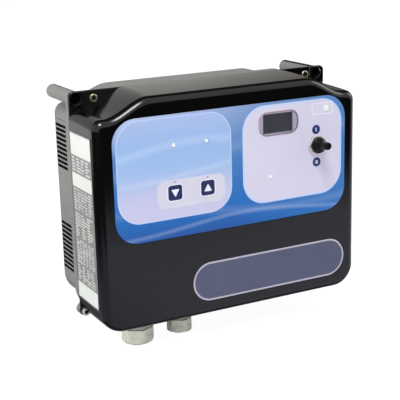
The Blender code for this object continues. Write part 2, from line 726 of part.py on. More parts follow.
def make_rear_housing():
    """The vented rear shell: rim, narrower body, wall tubes and the posts that carry the electronics."""
    rim_front = PARTING_Y + GAP
    outline = casing_outline(0.0, corner=RIM_BOTTOM_RADIUS)
    rim = loft([at_depth(rim_front, outline), at_depth(RIM_BACK_Y, outline)])
    housing = add_part("rear_housing", rim, "housing_grey")
    combine(housing, "UNION", "corners", housing_corners(rim_front + LAP, RIM_BACK_Y - LAP))

    full = body_outline(0.0)
    body = [
        at_depth(RIM_BACK_Y - HOUSING_WALL, full),
        at_depth(-BACK_CHAMFER, full),
        at_depth(0.0, body_outline(BACK_CHAMFER)),
    ]
    combine(housing, "UNION", "body", [(loft(body), Matrix.Identity(4))])
    tube = rod(TUBE_RADIUS, 0, -rim_front - 2 * LAP)
    tubes = [(tube, facing_front(x, z, 0)) for x, z in TUBES]
    boss = rod(SCREW_BOSS_RADIUS, 0, RIM_DEPTH - GAP - 2 * LAP)
    tubes += [(boss, facing_front(x, z, RIM_BACK_Y)) for x, z in TOP_SCREWS]
    combine(housing, "UNION", "tubes", tubes)

    inside = body_outline(HOUSING_WALL)
    hollow = loft([at_depth(PARTING_Y - HOUSING_WALL, inside), at_depth(-HOUSING_WALL, inside)])
    combine(housing, "DIFFERENCE", "hollow", [(hollow, Matrix.Identity(4))])

    standoff = rod(STANDOFF_RADIUS, HOUSING_WALL / 2, HOUSING_WALL + BOARD_STANDOFF, SMALL_STEPS)
    posts = [(standoff, facing_front(x, z, 0)) for x, z in BOARD_HOLES]
    boss = rod(COIL_BOSS_RADIUS, HOUSING_WALL / 2, HOUSING_WALL + COIL_HEIGHT)
    posts.append((boss, facing_front(*COIL_AT, 0)))
    combine(housing, "UNION", "posts", posts)

    holes = holes_along_y(TUBES, TUBE_BORE_RADIUS, PARTING_Y - HOUSING_WALL, -TUBE_FLOOR, ROUND_STEPS)
    screw_end = PARTING_Y - PLATE_THICKNESS + COVER_SCREW_LENGTH + GAP
    screw_hole = COVER_SCREW_RADIUS + GAP
    holes += holes_along_y(COVER_SCREWS.values(), screw_hole, PARTING_Y - HOUSING_WALL, screw_end)
    post_front = BOARD_BACK_Y - HOUSING_WALL
    post_end = BOARD_FRONT_Y + BOARD_SCREW_LENGTH
    holes += holes_along_y(BOARD_HOLES, BOARD_SCREW_RADIUS + GAP, post_front, post_end)
    boss_front = -HOUSING_WALL - COIL_HEIGHT - CLAMP_THICKNESS
    bolt_end = boss_front + COIL_BOLT_LENGTH + GAP
    holes += holes_along_y([COIL_AT], COIL_BOLT_RADIUS + GAP, boss_front, bolt_end)
    combine(housing, "DIFFERENCE", "holes", holes)
    necks = holes_along_y(TUBES, WALL_SCREW_RADIUS, -2 * TUBE_FLOOR, TUBE_FLOOR)
    combine(housing, "DIFFERENCE", "necks", necks)
    combine(housing, "DIFFERENCE", "vents", vent_slots())


def vent_slots():
    """Slots through both sides of the body, in a lower and an upper group."""
    slots = []
    high_group = (VENT_HIGH_COUNT - 1) * VENT_PITCH + VENT_HEIGHT
    side_top = TOP - BODY_TOP_IN - BODY_SHOULDER_DROP - BODY_SHOULDER_RADIUS
    groups = (
        (BOTTOM + VENT_LOW_RISE, VENT_LOW_COUNT),
        (side_top - VENT_HIGH_DROP - high_group, VENT_HIGH_COUNT),
    )
    for side in (-1, 1):
        x_edges = sorted((side * (BODY_HALF - 2 * HOUSING_WALL), side * (BODY_HALF + HOUSING_WALL)))
        for start, count in groups:
            for i in range(count):
                z = start + i * VENT_PITCH
                low = (x_edges[0], RIM_BACK_Y + VENT_FRONT_MARGIN, z)
                high = (x_edges[1], -VENT_BACK_MARGIN, z + VENT_HEIGHT)
                slots.append((block(low, high), Matrix.Identity(4)))
    return slots


def make_gasket():
    """A rubber bead on the rim, just inside the cover's wall."""
    corner = BOTTOM_RADIUS + CAVITY_CORNER
    outer = casing_outline(COVER_WALL + GAP, corner=corner)
    inner = casing_outline(COVER_WALL + GAP + GASKET_WIDTH, corner=corner)
    bead = plate([outer, inner], 0, GASKET_HEIGHT)
    add_part("cover_gasket", bead, "rubber_black", facing_front(0, 0, PARTING_Y))


def make_cover_screws():
    """Four socket screws that hold the cover on."""
    head = COVER_SCREW_HEAD
    profile = [
        (0.0, head),
        (COVER_SCREW_HEAD_RADIUS - COVER_SCREW_CHAMFER, head),
        (COVER_SCREW_HEAD_RADIUS, head - COVER_SCREW_CHAMFER),
        (COVER_SCREW_HEAD_RADIUS, GAP),
        (COVER_SCREW_RADIUS, GAP),
        (COVER_SCREW_RADIUS, -COVER_SCREW_LENGTH),
        (0.0, -COVER_SCREW_LENGTH),
    ]
    socket = plate([hexagon(COVER_SCREW_SOCKET)], head - COVER_SCREW_SOCKET_DEPTH, 2 * head)
    for corner, (x, z) in COVER_SCREWS.items():
        placed = facing_front(x, z, PARTING_Y - PLATE_THICKNESS)
        screw = add_part(f"cover_screw_{corner}", turned(profile, SMALL_STEPS), "screw_zinc", placed)
        combine(screw, "DIFFERENCE", "socket", [(socket, placed)])


def make_front_film():
    """The printed film on the front, with its windows, and the capsule plate below it."""
    middle = (FILM_TOP + FILM_BOTTOM) / 2
    outlines = [rectangle(FILM_RIGHT - FILM_LEFT, FILM_TOP - FILM_BOTTOM, FILM_RADIUS, (FILM_X, 0))]
    window = rectangle(
        WINDOW_LENGTH + 2 * GAP,
        WINDOW_HEIGHT + 2 * GAP,
        WINDOW_HEIGHT / 2 - BEZEL_LIP + GAP,
        (DISPLAY_AT[0], DISPLAY_AT[1] - middle),
    )
    outlines.append(window)
    key_hole = KEY_SIDE + 2 * GAP
    for x in COLUMNS:
        outlines.append(rectangle(key_hole, key_hole, KEY_RADIUS + GAP, (x, KEY_Z - middle)))
    for x, z, radius in LAMPS.values():
        outlines.append(circle(radius + GAP, (x, z - middle), SMALL_STEPS))
    outlines.append(circle(BUSH_RADIUS + GAP, (TOGGLE_AT[0], TOGGLE_AT[1] - middle)))
    seat = GAP - FILM_POCKET
    film = plate(outlines, seat, seat + FILM_THICKNESS)
    add_part("keypad_overlay", film, "film_blue", on_panel(0, middle))

    name = plate([rectangle(NAME_LENGTH, NAME_HEIGHT, NAME_HEIGHT / 2)], seat, seat + FILM_THICKNESS)
    add_part("name_plate", name, "plate_slate", on_panel(FILM_RIGHT - NAME_LENGTH / 2, name_middle()))


def make_rating_label():
    """A thin label on the cover's left side."""
    front = FRONT_Y + FRONT_FILLET + LABEL_MARGIN
    bottom = BOTTOM + BOTTOM_RADIUS + LABEL_MARGIN
    outside = -HALF - GAP
    low = (outside - LABEL_THICKNESS, front, bottom)
    high = (outside, PARTING_Y - LABEL_BACK_IN, SHOULDER_Z - SHOULDER_RADIUS - LABEL_DROP)
    add_part("rating_label", block(low, high), "label_silver")


def make_display():
    """The window, the grey frame behind it and the digit block on the panel board."""
    placed = on_panel(*DISPLAY_AT)
    shape = rectangle(WINDOW_LENGTH, WINDOW_HEIGHT, WINDOW_HEIGHT / 2 - BEZEL_LIP)
    add_part("display_window", plate([shape], -WINDOW_THICKNESS, 0.0), "window_clear", placed)

    opening = rectangle(SCREEN_LENGTH + 2 * GAP, SCREEN_HEIGHT + 2 * GAP, GAP)
    bezel_front = -WINDOW_THICKNESS - GAP
    bezel_back = -COVER_WALL - GAP - BEZEL_DEPTH
    frame = plate([shape, opening], bezel_back + LAP, bezel_front)
    bezel = add_part("display_bezel", frame, "bezel_grey", placed)
    lip = rectangle(WINDOW_LENGTH + 2 * BEZEL_LIP, WINDOW_HEIGHT + 2 * BEZEL_LIP, WINDOW_HEIGHT / 2)
    lip_hole = rectangle(SCREEN_LENGTH + 4 * GAP, SCREEN_HEIGHT + 4 * GAP, 2 * GAP)
    combine(bezel, "UNION", "lip", [(plate([lip, lip_hole], bezel_back, -COVER_WALL - GAP), placed)])

    board = GAP - DISPLAY_BOARD_BACK
    screen = plate([rectangle(SCREEN_LENGTH, SCREEN_HEIGHT, GAP)], board, bezel_front - GAP)
    add_part("display_module", screen, "screen_black", placed)


def make_panel_board():
    """The board behind the front wall, cut out around the toggle switch, and its two screws."""
    left, right, bottom, top = PANEL_BOARD
    outlines = [rectangle(right - left, top - bottom, POST_RADIUS, ((left + right) / 2, (bottom + top) / 2))]
    cut_width = SWITCH_WIDTH + 2 * SWITCH_CLEAR
    cut_height = SWITCH_HEIGHT + 2 * SWITCH_CLEAR
    outlines.append(rectangle(cut_width, cut_height, SWITCH_CLEAR, TOGGLE_AT))
    for at in SCREWED_POSTS:
        outlines.append(circle(BOARD_SCREW_RADIUS + GAP, at, SMALL_STEPS))
    board_back = -DISPLAY_BOARD_BACK - BOARD_THICKNESS
    add_part("display_board", plate(outlines, board_back, -DISPLAY_BOARD_BACK), "board_green", on_panel(0, 0))
    for index, (x, z) in enumerate(SCREWED_POSTS, 1):
        from_behind = on_panel(x, z, board_back) @ Matrix.Rotation(math.pi, 4, "X")
        add_part(f"display_board_screw_{index}", board_screw(), "bright_metal", from_behind)


def board_screw():
    """A small pan-head screw, with its head from z = 0 up."""
    profile = [
        (0.0, BOARD_SCREW_HEAD),
        (BOARD_SCREW_RADIUS, BOARD_SCREW_HEAD),
        (BOARD_SCREW_HEAD_RADIUS, BOARD_SCREW_HEAD / 2),
        (BOARD_SCREW_HEAD_RADIUS, GAP),
        (BOARD_SCREW_RADIUS, GAP),
        (BOARD_SCREW_RADIUS, 2 * GAP - BOARD_SCREW_LENGTH),
        (0.0, 2 * GAP - BOARD_SCREW_LENGTH),
    ]
    return turned(profile, SMALL_STEPS)


def make_keys():
    """Two push keys, each over its own switch on the panel board."""
    switch_top = -DISPLAY_BOARD_BACK + GAP + KEY_SWITCH_DEPTH
    lip_front = -COVER_WALL - GAP
    lip_back = lip_front - KEY_LIP_DEPTH
    post_end = switch_top + KEY_SWITCH_STEM + KEY_TRAVEL + GAP
    for name, x in zip(("down", "up"), COLUMNS):
        placed = on_panel(x, KEY_Z)
        cap = plate([rectangle(KEY_SIDE, KEY_SIDE, KEY_RADIUS)], lip_back + LAP, KEY_PROUD)
        key = add_part(f"key_{name}", cap, "key_navy", placed)
        lip_side = KEY_SIDE + 2 * KEY_LIP
        lip = plate([rectangle(lip_side, lip_side, KEY_RADIUS + KEY_LIP)], lip_back, lip_front)
        combine(key, "UNION", "lip", [(lip, placed)])
        post = rod(KEY_POST_RADIUS, post_end, lip_back + LAP, SMALL_STEPS)
        combine(key, "UNION", "post", [(post, placed)])

        half = KEY_SWITCH_SIDE / 2
        base = block((-half, -half, -DISPLAY_BOARD_BACK + GAP), (half, half, switch_top))
        switch = add_part(f"key_switch_{name}", base, "chip_black", placed)
        stem = rod(KEY_SWITCH_STEM_RADIUS, switch_top - LAP, switch_top + KEY_SWITCH_STEM, SMALL_STEPS)
        combine(switch, "UNION", "stem", [(stem, placed)])


def make_indicators():
    """Light pipes from the panel board to round lenses in the film."""
    lip_front = -COVER_WALL - GAP
    lip_back = lip_front - LENS_LIP_DEPTH
    for name, (x, z, radius) in LAMPS.items():
        profile = [
            (0.0, LENS_PROUD),
            (radius - LENS_PROUD, LENS_PROUD / 2),
            (radius, 0.0),
            (radius, lip_front),
            (radius + LENS_LIP, lip_front),
            (radius + LENS_LIP, lip_back),
            (PIPE_RADIUS, lip_back),
            (PIPE_RADIUS, GAP - DISPLAY_BOARD_BACK),
            (0.0, GAP - DISPLAY_BOARD_BACK),
        ]
        add_part(name, turned(profile, SMALL_STEPS), "lens_white", on_panel(x, z))


def make_toggle():
    """The toggle switch: case, threaded bush, nut, lever and the two halves of its rubber boot."""
    placed = on_panel(*TOGGLE_AT)
    plate_front = -COVER_WALL - GAP
    plate_back = plate_front - SWITCH_PLATE
    face = [rectangle(SWITCH_WIDTH, SWITCH_HEIGHT, GAP), circle(BUSH_BORE_RADIUS)]
    bushing = add_part("toggle_bushing", plate(face, plate_back, plate_front), "bright_metal", placed)
    middle = (BUSH_RADIUS + BUSH_BORE_RADIUS) / 2
    tube = [
        (BUSH_RADIUS, BUSH_PROUD),
        (BUSH_RADIUS, plate_back + LAP),
        (BUSH_BORE_RADIUS + LAP, plate_back + LAP),
        (BUSH_BORE_RADIUS + LAP, BUSH_PROUD - (middle - BUSH_BORE_RADIUS)),
        (middle, BUSH_PROUD),
    ]
    combine(bushing, "UNION", "tube", [(turned(tube, ring=True), placed)])

    case_front = plate_back - GAP
    case_back = case_front - SWITCH_DEPTH
    half_width = SWITCH_WIDTH / 2
    half_height = SWITCH_HEIGHT / 2
    case = block((-half_width, -half_height, case_back), (half_width, half_height, case_front))
    body = add_part("toggle_body", case, "chip_black", placed)
    well = rod(BUSH_BORE_RADIUS, case_front - SWITCH_WELL, case_front + SWITCH_PLATE)
    combine(body, "DIFFERENCE", "well", [(well, placed)])
    terminals = []
    for i in (-1, 0, 1):
        z = i * BLADE_PITCH
        low = (-BLADE_WIDTH / 2, z - BLADE_THICKNESS / 2, case_back - BLADE_LENGTH)
        high = (BLADE_WIDTH / 2, z + BLADE_THICKNESS / 2, case_back + SWITCH_PLATE)
        terminals.append((block(low, high), placed))
    combine(body, "UNION", "terminals", terminals)

    nut_back = 2 * GAP
    nut_front = nut_back + NUT_THICKNESS
    nut = plate([hexagon(NUT_FLATS, 0), circle(BUSH_RADIUS + GAP)], nut_back, nut_front)
    add_part("toggle_nut", nut, "bright_metal", placed)

    skirt_back = nut_front + GAP
    skirt_front = skirt_back + SKIRT_HEIGHT
    skirt = [
        (SKIRT_MOUTH_RADIUS + SKIRT_LIP, skirt_front),
        (SKIRT_RADIUS - SKIRT_LIP, skirt_front - SKIRT_ROUND),
        (SKIRT_RADIUS, skirt_front - 2 * SKIRT_ROUND),
        (SKIRT_RADIUS, skirt_back),
        (BUSH_RADIUS + GAP, skirt_back),
        (BUSH_RADIUS + GAP, skirt_front - 2 * SKIRT_ROUND),
        (SKIRT_MOUTH_RADIUS, skirt_front),
    ]
    add_part("toggle_boot_skirt", turned(skirt, ring=True), "rubber_black", placed)

    tilted = on_panel(*TOGGLE_AT, PIVOT_PROUD) @ Matrix.Rotation(-math.radians(LEVER_TILT), 4, "X")
    ball_edge = math.degrees(math.acos(LEVER_RADIUS / LEVER_BALL_RADIUS))
    lever = [(0.0, LEVER_LENGTH), (LEVER_RADIUS, LEVER_LENGTH)]
    lever += arc(0, 0, LEVER_BALL_RADIUS, ball_edge, -ball_edge)
    lever += [(LEVER_RADIUS, -LEVER_TAIL), (0.0, -LEVER_TAIL)]
    add_part("toggle_lever", turned(lever, SMALL_STEPS), "bright_metal", tilted)

    hole = LEVER_RADIUS + GAP
    hole_end = LEVER_LENGTH + GAP
    sleeve = arc(0, LEVER_LENGTH + SLEEVE_CAP - SLEEVE_RADIUS, SLEEVE_RADIUS, 90, 0)
    sleeve += [(SLEEVE_RADIUS, SLEEVE_START), (hole, SLEEVE_START), (hole, hole_end), (0.0, hole_end)]
    add_part("toggle_boot_sleeve", turned(sleeve), "rubber_black", tilted)


def make_glands():
    """Two cable glands under the cover: body, washer, locknut, rubber seal and domed nut each."""
    for x, size, thread, flats, bore, dome in gland_list():
        placed = Matrix.Translation((x, FRONT_Y + GLAND_BACK, BOTTOM))
        washer_low = -GAP - GLAND_WASHER
        washer = plate([circle(flats / 2), circle(thread + GAP)], washer_low, -GAP)
        add_part(f"{size}_gland_washer", washer, "rubber_black", placed)

        hex_high = washer_low - GAP
        hex_low = hex_high - GLAND_HEX
        neck_low = hex_low - GLAND_NECK
        neck = thread - GLAND_WALL / 2
        inner = thread - GLAND_WALL
        tube = [
            (thread, COVER_WALL + GLAND_INSIDE),
            (thread, hex_low),
            (neck, hex_low),
            (neck, neck_low),
            (neck - GLAND_WALL, neck_low),
            (neck - GLAND_WALL, hex_low),
            (inner, hex_low + GLAND_WALL),
            (inner, COVER_WALL + GLAND_INSIDE),
        ]
        body = add_part(f"{size}_gland_body", turned(tube, ring=True), "gland_grey", placed)
        collar = plate([hexagon(flats), circle(thread - GLAND_WALL / 2)], hex_low + LAP, hex_high)
        combine(body, "UNION", "collar", [(collar, placed)])

        nut_low = COVER_WALL + GAP
        locknut = plate([hexagon(flats), circle(thread + GAP)], nut_low, nut_low + GLAND_LOCKNUT)
        add_part(f"{size}_gland_locknut", locknut, "gland_grey", placed)

        length, side = dome
        dome_high = hex_low - DOME_STANDOFF
        dome_low = dome_high - length
        heights = (dome_low, neck_low - GAP, dome_high - side, dome_high)
        add_dome(f"{size}_gland_dome_nut", flats, neck + GAP, bore + GAP, heights, placed)
        seal_low = dome_low + DOME_WALL + GAP
        seal = [
            (neck - GAP, neck_low - GAP),
            (bore + GLAND_WALL, seal_low),
            (bore, seal_low),
            (bore, neck_low - GAP),
        ]
        add_part(f"{size}_gland_seal", turned(seal, ring=True), "rubber_black", placed)


def add_dome(name, flats, thread, mouth, heights, placed):
    """A six-sided nut that draws in to a round mouth, hollow for the thread and the seal."""
    low, step, draw, high = heights
    corner = flats / math.sqrt(3)
    nut = add_part(name, plate([hexagon(flats)], low - DOME_WALL, high), "gland_grey", placed)
    turn = [(0.0, high + GAP), (corner + LAP, high + GAP)]
    end = mouth + DOME_LIP
    for across, down in arc(0, 0, 1, 0, 90):
        turn.append((end + (corner + LAP - end) * across, draw + (low - draw) * down))
    turn.append((0.0, low))
    combine(nut, "INTERSECT", "round", [(turned(turn), placed)])
    seat = low + DOME_WALL
    hollow = [
        (0.0, high + DOME_WALL),
        (thread, high + DOME_WALL),
        (thread, step),
        (mouth + GLAND_WALL + GAP, seat),
        (mouth, seat),
        (mouth, low - DOME_WALL),
        (0.0, low - DOME_WALL),
    ]
    combine(nut, "DIFFERENCE", "hollow", [(turned(hollow), placed)])


def make_main_board():
    """The power board on its standoffs, with its screws."""
    middle = ((BOARD_LEFT + BOARD_RIGHT) / 2, (BOARD_BOTTOM + BOARD_TOP) / 2)
    outlines = [rectangle(BOARD_RIGHT - BOARD_LEFT, BOARD_TOP - BOARD_BOTTOM, STANDOFF_RADIUS, middle)]
    outlines += [circle(BOARD_SCREW_RADIUS + GAP, at, SMALL_STEPS) for at in BOARD_HOLES]
    board = plate(outlines, 0, BOARD_THICKNESS)
    add_part("main_board", board, "board_green", facing_front(0, 0, BOARD_BACK_Y))
    for index, (x, z) in enumerate(BOARD_HOLES, 1):
        placed = facing_front(x, z, BOARD_FRONT_Y)
        add_part(f"main_board_screw_{index}", board_screw(), "bright_metal", placed)


def add_component(name, size, left, bottom, colour, step):
    """A square-built component on the power board, with its upper front edge cut off."""
    width, height, depth = size
    profile = [(0, 0), (0, height), (-depth + step, height), (-depth, height - step), (-depth, 0)]
    mesh = plate([profile], 0, width)
    mesh.transform(ALONG_X)
    add_part(name, mesh, colour, Matrix.Translation((left, BOARD_FRONT_Y - GAP, bottom)))


def make_lower_components():
    """The lowest rows of the power board: terminals and fuse, then the two relays above them."""
    left = BOARD_LEFT + 2 * BOARD_HOLE_IN
    bottom = BOARD_BOTTOM + 2 * BOARD_HOLE_IN
    mains = (MAINS_TERMINAL_WIDTH, TERMINAL_HEIGHT, TERMINAL_DEPTH)
    cell = (CELL_TERMINAL_WIDTH, TERMINAL_HEIGHT, TERMINAL_DEPTH)
    cell_left = left + MAINS_TERMINAL_WIDTH + COMPONENT_GAP
    add_component("mains_terminal", mains, left, bottom, "terminal_green", TERMINAL_STEP)
    add_component("cell_terminal", cell, cell_left, bottom, "terminal_green", TERMINAL_STEP)
    fuse_top = make_fuse(cell_left + CELL_TERMINAL_WIDTH + COMPONENT_GAP, bottom)

    relay = (RELAY_WIDTH, RELAY_HEIGHT, RELAY_DEPTH)
    relay_bottom = max(fuse_top, bottom + TERMINAL_HEIGHT) + COMPONENT_GAP
    for i, name in enumerate(("relay_left", "relay_right")):
        relay_left = left + i * (RELAY_WIDTH + COMPONENT_GAP)
        add_component(name, relay, relay_left, relay_bottom, "relay_blue", SMALL_STEP)
    make_upper_components(left, relay_bottom + RELAY_HEIGHT + COMPONENT_GAP)


def make_fuse(left, bottom):
    """A glass fuse between the two clips of its holder. Returns the height of the holder's upper end."""
    seat_low = CLIP_THICKNESS - GAP
    seat_high = CLIP_THICKNESS + FUSE_LENGTH + GAP
    top = seat_high - GAP + CLIP_THICKNESS
    holder = [
        (0, 0),
        (0, top),
        (-CLIP_DEPTH, top),
        (-CLIP_DEPTH, seat_high),
        (-FUSE_WELL, seat_high),
        (-FUSE_WELL, seat_low),
        (-CLIP_DEPTH, seat_low),
        (-CLIP_DEPTH, 0),
    ]
    mesh = plate([holder], 0, CLIP_WIDTH)
    mesh.transform(ALONG_X)
    board = BOARD_FRONT_Y - GAP
    add_part("fuse_holder", mesh, "chip_black", Matrix.Translation((left, board, bottom)))
    fuse = rod(FUSE_RADIUS, CLIP_THICKNESS, CLIP_THICKNESS + FUSE_LENGTH, SMALL_STEPS)
    fuse_y = board - FUSE_WELL - GAP - FUSE_RADIUS
    add_part("fuse", fuse, "fuse_glass", Matrix.Translation((left + CLIP_WIDTH / 2, fuse_y, bottom)))
    return bottom + top


def make_upper_components(left, bottom):
    """The upper row of the power board: capacitor, then rectifier with its heat sink above it."""
    can = [
        (0.0, CAN_HEIGHT),
        (CAN_RADIUS - CAN_BEAD, CAN_HEIGHT),
        (CAN_RADIUS, CAN_HEIGHT - CAN_BEAD),
        (CAN_RADIUS, 4 * CAN_BEAD),
        (CAN_RADIUS - CAN_BEAD / 2, 3 * CAN_BEAD),
        (CAN_RADIUS, 2 * CAN_BEAD),
        (CAN_RADIUS, 0.0),
        (0.0, 0.0),
    ]
    can_at = facing_front(left + CAN_RADIUS, bottom + CAN_RADIUS, BOARD_FRONT_Y - GAP)
    add_part("capacitor", turned(can), "chip_black", can_at)

    sink_left = left + 2 * CAN_RADIUS + COMPONENT_GAP
    rectifier = (RECTIFIER_WIDTH, RECTIFIER_HEIGHT, RECTIFIER_DEPTH)
    rectifier_left = sink_left + (SINK_WIDTH - RECTIFIER_WIDTH) / 2
    add_component("bridge_rectifier", rectifier, rectifier_left, bottom, "chip_black", SMALL_STEP)

    pitch = (SINK_WIDTH - SINK_FIN) / (SINK_FINS - 1)
    comb = [(0, 0)]
    for i in range(SINK_FINS):
        fin = i * pitch
        comb += [(fin, -SINK_BASE)] if i > 0 else []
        comb += [(fin, -SINK_HEIGHT), (fin + SINK_FIN, -SINK_HEIGHT)]
        comb += [(fin + SINK_FIN, -SINK_BASE)] if i < SINK_FINS - 1 else []
    comb.append((SINK_WIDTH, 0))
    sink_at = Matrix.Translation((sink_left, BOARD_FRONT_Y - GAP, bottom + RECTIFIER_HEIGHT + GAP))
    add_part("heat_sink", plate([comb], 0, SINK_LENGTH), "sink_metal", sink_at)


def make_transformer():
    """A toroidal transformer on a boss of the back wall, held by a dished clamp and a bolt."""
    placed = facing_front(*COIL_AT, -HOUSING_WALL - GAP)
    top = COIL_HEIGHT - CLAMP_THICKNESS
    ring = arc(COIL_RADIUS - COIL_ROUND, top - COIL_ROUND, COIL_ROUND, 90, 0)
    ring += arc(COIL_RADIUS - COIL_ROUND, COIL_ROUND, COIL_ROUND, 0, -90)
    ring += [(COIL_HOLE_RADIUS, 0.0), (COIL_HOLE_RADIUS, top)]
    add_part("transformer_coil", turned(ring, ring=True), "coil_tape", placed)

    rest = COIL_HEIGHT + GAP
    lip = top + GAP
    hole = COIL_BOLT_RADIUS + GAP
    dish = [
        (CLAMP_RADIUS, lip + CLAMP_THICKNESS),
        (CLAMP_RADIUS, lip),
        (COIL_BOSS_RADIUS, rest),
        (hole, rest),
        (hole, rest + CLAMP_THICKNESS),
        (COIL_BOSS_RADIUS, rest + CLAMP_THICKNESS),
    ]
    add_part("transformer_clamp", turned(dish, ring=True), "bright_metal", placed)

    seat = rest + CLAMP_THICKNESS + GAP
    shank = rod(COIL_BOLT_RADIUS, seat - COIL_BOLT_LENGTH + COIL_BOLT_CLEAR, seat + LAP, SMALL_STEPS)
    bolt = add_part("transformer_bolt", shank, "bright_metal", placed)
    head = plate([hexagon(COIL_BOLT_FLATS)], seat, seat + COIL_BOLT_HEAD)
    combine(bolt, "UNION", "head", [(head, placed)])


def make_ribbon():
    """The flat cable from the power board to the panel board, in one soft S bend."""
    start = (BOARD_FRONT_Y - GAP, BOARD_TOP - RIBBON_BOARD_DROP)
    end = (FRONT_Y + DISPLAY_BOARD_BACK + BOARD_THICKNESS + GAP, PANEL_BOARD[2] + RIBBON_RISE)
    reach = (end[0] - start[0]) / 2
    pulls = ((start[0] + reach, start[1]), (end[0] - reach, end[1]))
    edge_up = []
    edge_down = []
    for i in range(RIBBON_STEPS + 1):
        t = i / RIBBON_STEPS
        weights = ((1 - t) ** 3, 3 * t * (1 - t) ** 2, 3 * t * t * (1 - t), t**3)
        slopes = (-3 * (1 - t) ** 2, 3 * (1 - t) * (1 - 3 * t), 3 * t * (2 - 3 * t), 3 * t * t)
        route = (start, *pulls, end)
        y = sum(w * p[0] for w, p in zip(weights, route))
        z = sum(w * p[1] for w, p in zip(weights, route))
        along_y = sum(w * p[0] for w, p in zip(slopes, route))
        along_z = sum(w * p[1] for w, p in zip(slopes, route))
        half = RIBBON_THICKNESS / 2 / math.hypot(along_y, along_z)
        edge_up.append((y + along_z * half, z - along_y * half))
        edge_down.append((y - along_z * half, z + along_y * half))
    mesh = plate([edge_up + edge_down[::-1]], -RIBBON_WIDTH / 2, RIBBON_WIDTH / 2)
    mesh.transform(ALONG_X)
    add_part("ribbon_cable", mesh, "ribbon_grey", Matrix.Translation((BOARD_LEFT + RIBBON_BOARD_IN, 0, 0)))


make_rear_housing()
make_front_cover()
make_gasket()
make_cover_screws()
make_front_film()
make_rating_label()
make_display()
make_panel_board()
make_keys()
make_indicators()
make_toggle()
make_glands()
make_main_board()
make_lower_components()
make_transformer()
make_ribbon()
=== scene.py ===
# %% [markdown]
# # The control box of a pool salt chlorine generator
# The real box hangs on a wall beside the pool pump. A gloss black cover carries a printed film with two
# keys, a digit display and a toggle switch. Behind it is a vented rear shell, and below it are two
# cable glands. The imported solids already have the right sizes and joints, so they are loaded first and
# never moved. This lesson dresses them: each step makes a finer surface for one piece and lets it stand
# for its solid.

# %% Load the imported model
import json
import math
from functools import partial

import bmesh
import bpy
from mathutils import Matrix, Vector


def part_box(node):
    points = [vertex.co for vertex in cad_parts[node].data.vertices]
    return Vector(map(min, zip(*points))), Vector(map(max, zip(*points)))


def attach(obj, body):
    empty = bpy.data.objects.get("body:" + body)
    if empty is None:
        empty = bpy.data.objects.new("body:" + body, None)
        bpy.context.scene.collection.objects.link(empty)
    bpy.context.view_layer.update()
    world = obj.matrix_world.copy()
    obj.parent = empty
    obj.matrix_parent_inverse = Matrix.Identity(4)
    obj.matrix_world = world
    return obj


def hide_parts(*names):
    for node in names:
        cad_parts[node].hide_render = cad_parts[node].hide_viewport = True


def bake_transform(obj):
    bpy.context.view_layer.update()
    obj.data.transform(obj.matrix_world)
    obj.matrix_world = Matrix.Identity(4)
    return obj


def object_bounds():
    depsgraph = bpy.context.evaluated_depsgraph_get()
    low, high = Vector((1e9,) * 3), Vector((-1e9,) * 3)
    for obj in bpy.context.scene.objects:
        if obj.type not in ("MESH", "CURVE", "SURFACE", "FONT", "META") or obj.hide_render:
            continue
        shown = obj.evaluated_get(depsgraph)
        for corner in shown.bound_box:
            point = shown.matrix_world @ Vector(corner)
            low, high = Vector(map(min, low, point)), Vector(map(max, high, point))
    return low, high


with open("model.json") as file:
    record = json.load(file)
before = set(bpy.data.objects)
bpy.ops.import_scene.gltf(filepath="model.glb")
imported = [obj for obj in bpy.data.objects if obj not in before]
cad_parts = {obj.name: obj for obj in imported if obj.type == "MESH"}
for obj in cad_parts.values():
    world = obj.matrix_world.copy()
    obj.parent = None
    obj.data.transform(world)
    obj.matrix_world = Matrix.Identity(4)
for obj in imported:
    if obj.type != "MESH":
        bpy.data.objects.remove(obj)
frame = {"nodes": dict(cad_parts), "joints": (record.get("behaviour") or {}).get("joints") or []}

CAD_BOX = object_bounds()
scene = bpy.context.scene
scene.view_settings.view_transform = "Standard"


def linked(name, data):
    """A new object in the scene."""
    obj = bpy.data.objects.new(name, data)
    scene.collection.objects.link(obj)
    return obj


# %% [markdown]
# ## Sizes and places
# Everything is in metres. x runs to the right, y into the wall and z up, and the wall is the plane y =
# 0. What can be read from the solids is read, so that a new pack moves the looks with it. Only the
# radii that a box can't tell are written down here.

# %% Sizes and places
GAP = 0.0003
cover_low, cover_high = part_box("front_cover")
FRONT_Y = cover_low.y
PARTING_Y = cover_high.y
TOP = cover_high.z
BOTTOM = -TOP
HALF = -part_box("rating_label")[1].x - GAP


def middle(node):
    """The middle of a solid, across and up, as the front shows it."""
    low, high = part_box(node)
    return (low.x + high.x) / 2, (low.z + high.z) / 2


def size_of(node):
    """How wide and how high a solid is, as the front shows it."""
    low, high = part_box(node)
    return high.x - low.x, high.z - low.z


def depths(node):
    """How far the back and the front of a solid stand out from the front face of the cover."""
    low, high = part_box(node)
    return FRONT_Y - high.y, FRONT_Y - low.y


KEYS = {"down": middle("key_down"), "up": middle("key_up")}
LAMPS = ("indicator_left", "indicator_right", "indicator_sensor", "indicator_power")
DISPLAY = middle("display_window")
TOGGLE = middle("toggle_nut")
CORNERS = ("top_left", "top_right", "bottom_left", "bottom_right")
COVER_SCREWS = ["cover_screw_" + corner for corner in CORNERS]
FILM_LOW, FILM_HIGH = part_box("keypad_overlay")
print("casing:", round(2 * HALF, 4), "wide,", round(2 * TOP, 4), "high, front at", round(FRONT_Y, 4))

# %% [markdown]
# ## Camera
# The camera stands to the left of the box and a little above it. Its angles are turned into the three
# axes of a camera by hand, because a tracking constraint could not hold the slight roll.

# %% Camera
LENS = 96.19
EYE = Vector((-0.48269, -0.97338, 0.26743))
AZIMUTH = math.radians(-27.56)
ELEVATION = math.radians(15.2)
ROLL = math.radians(-1.59)


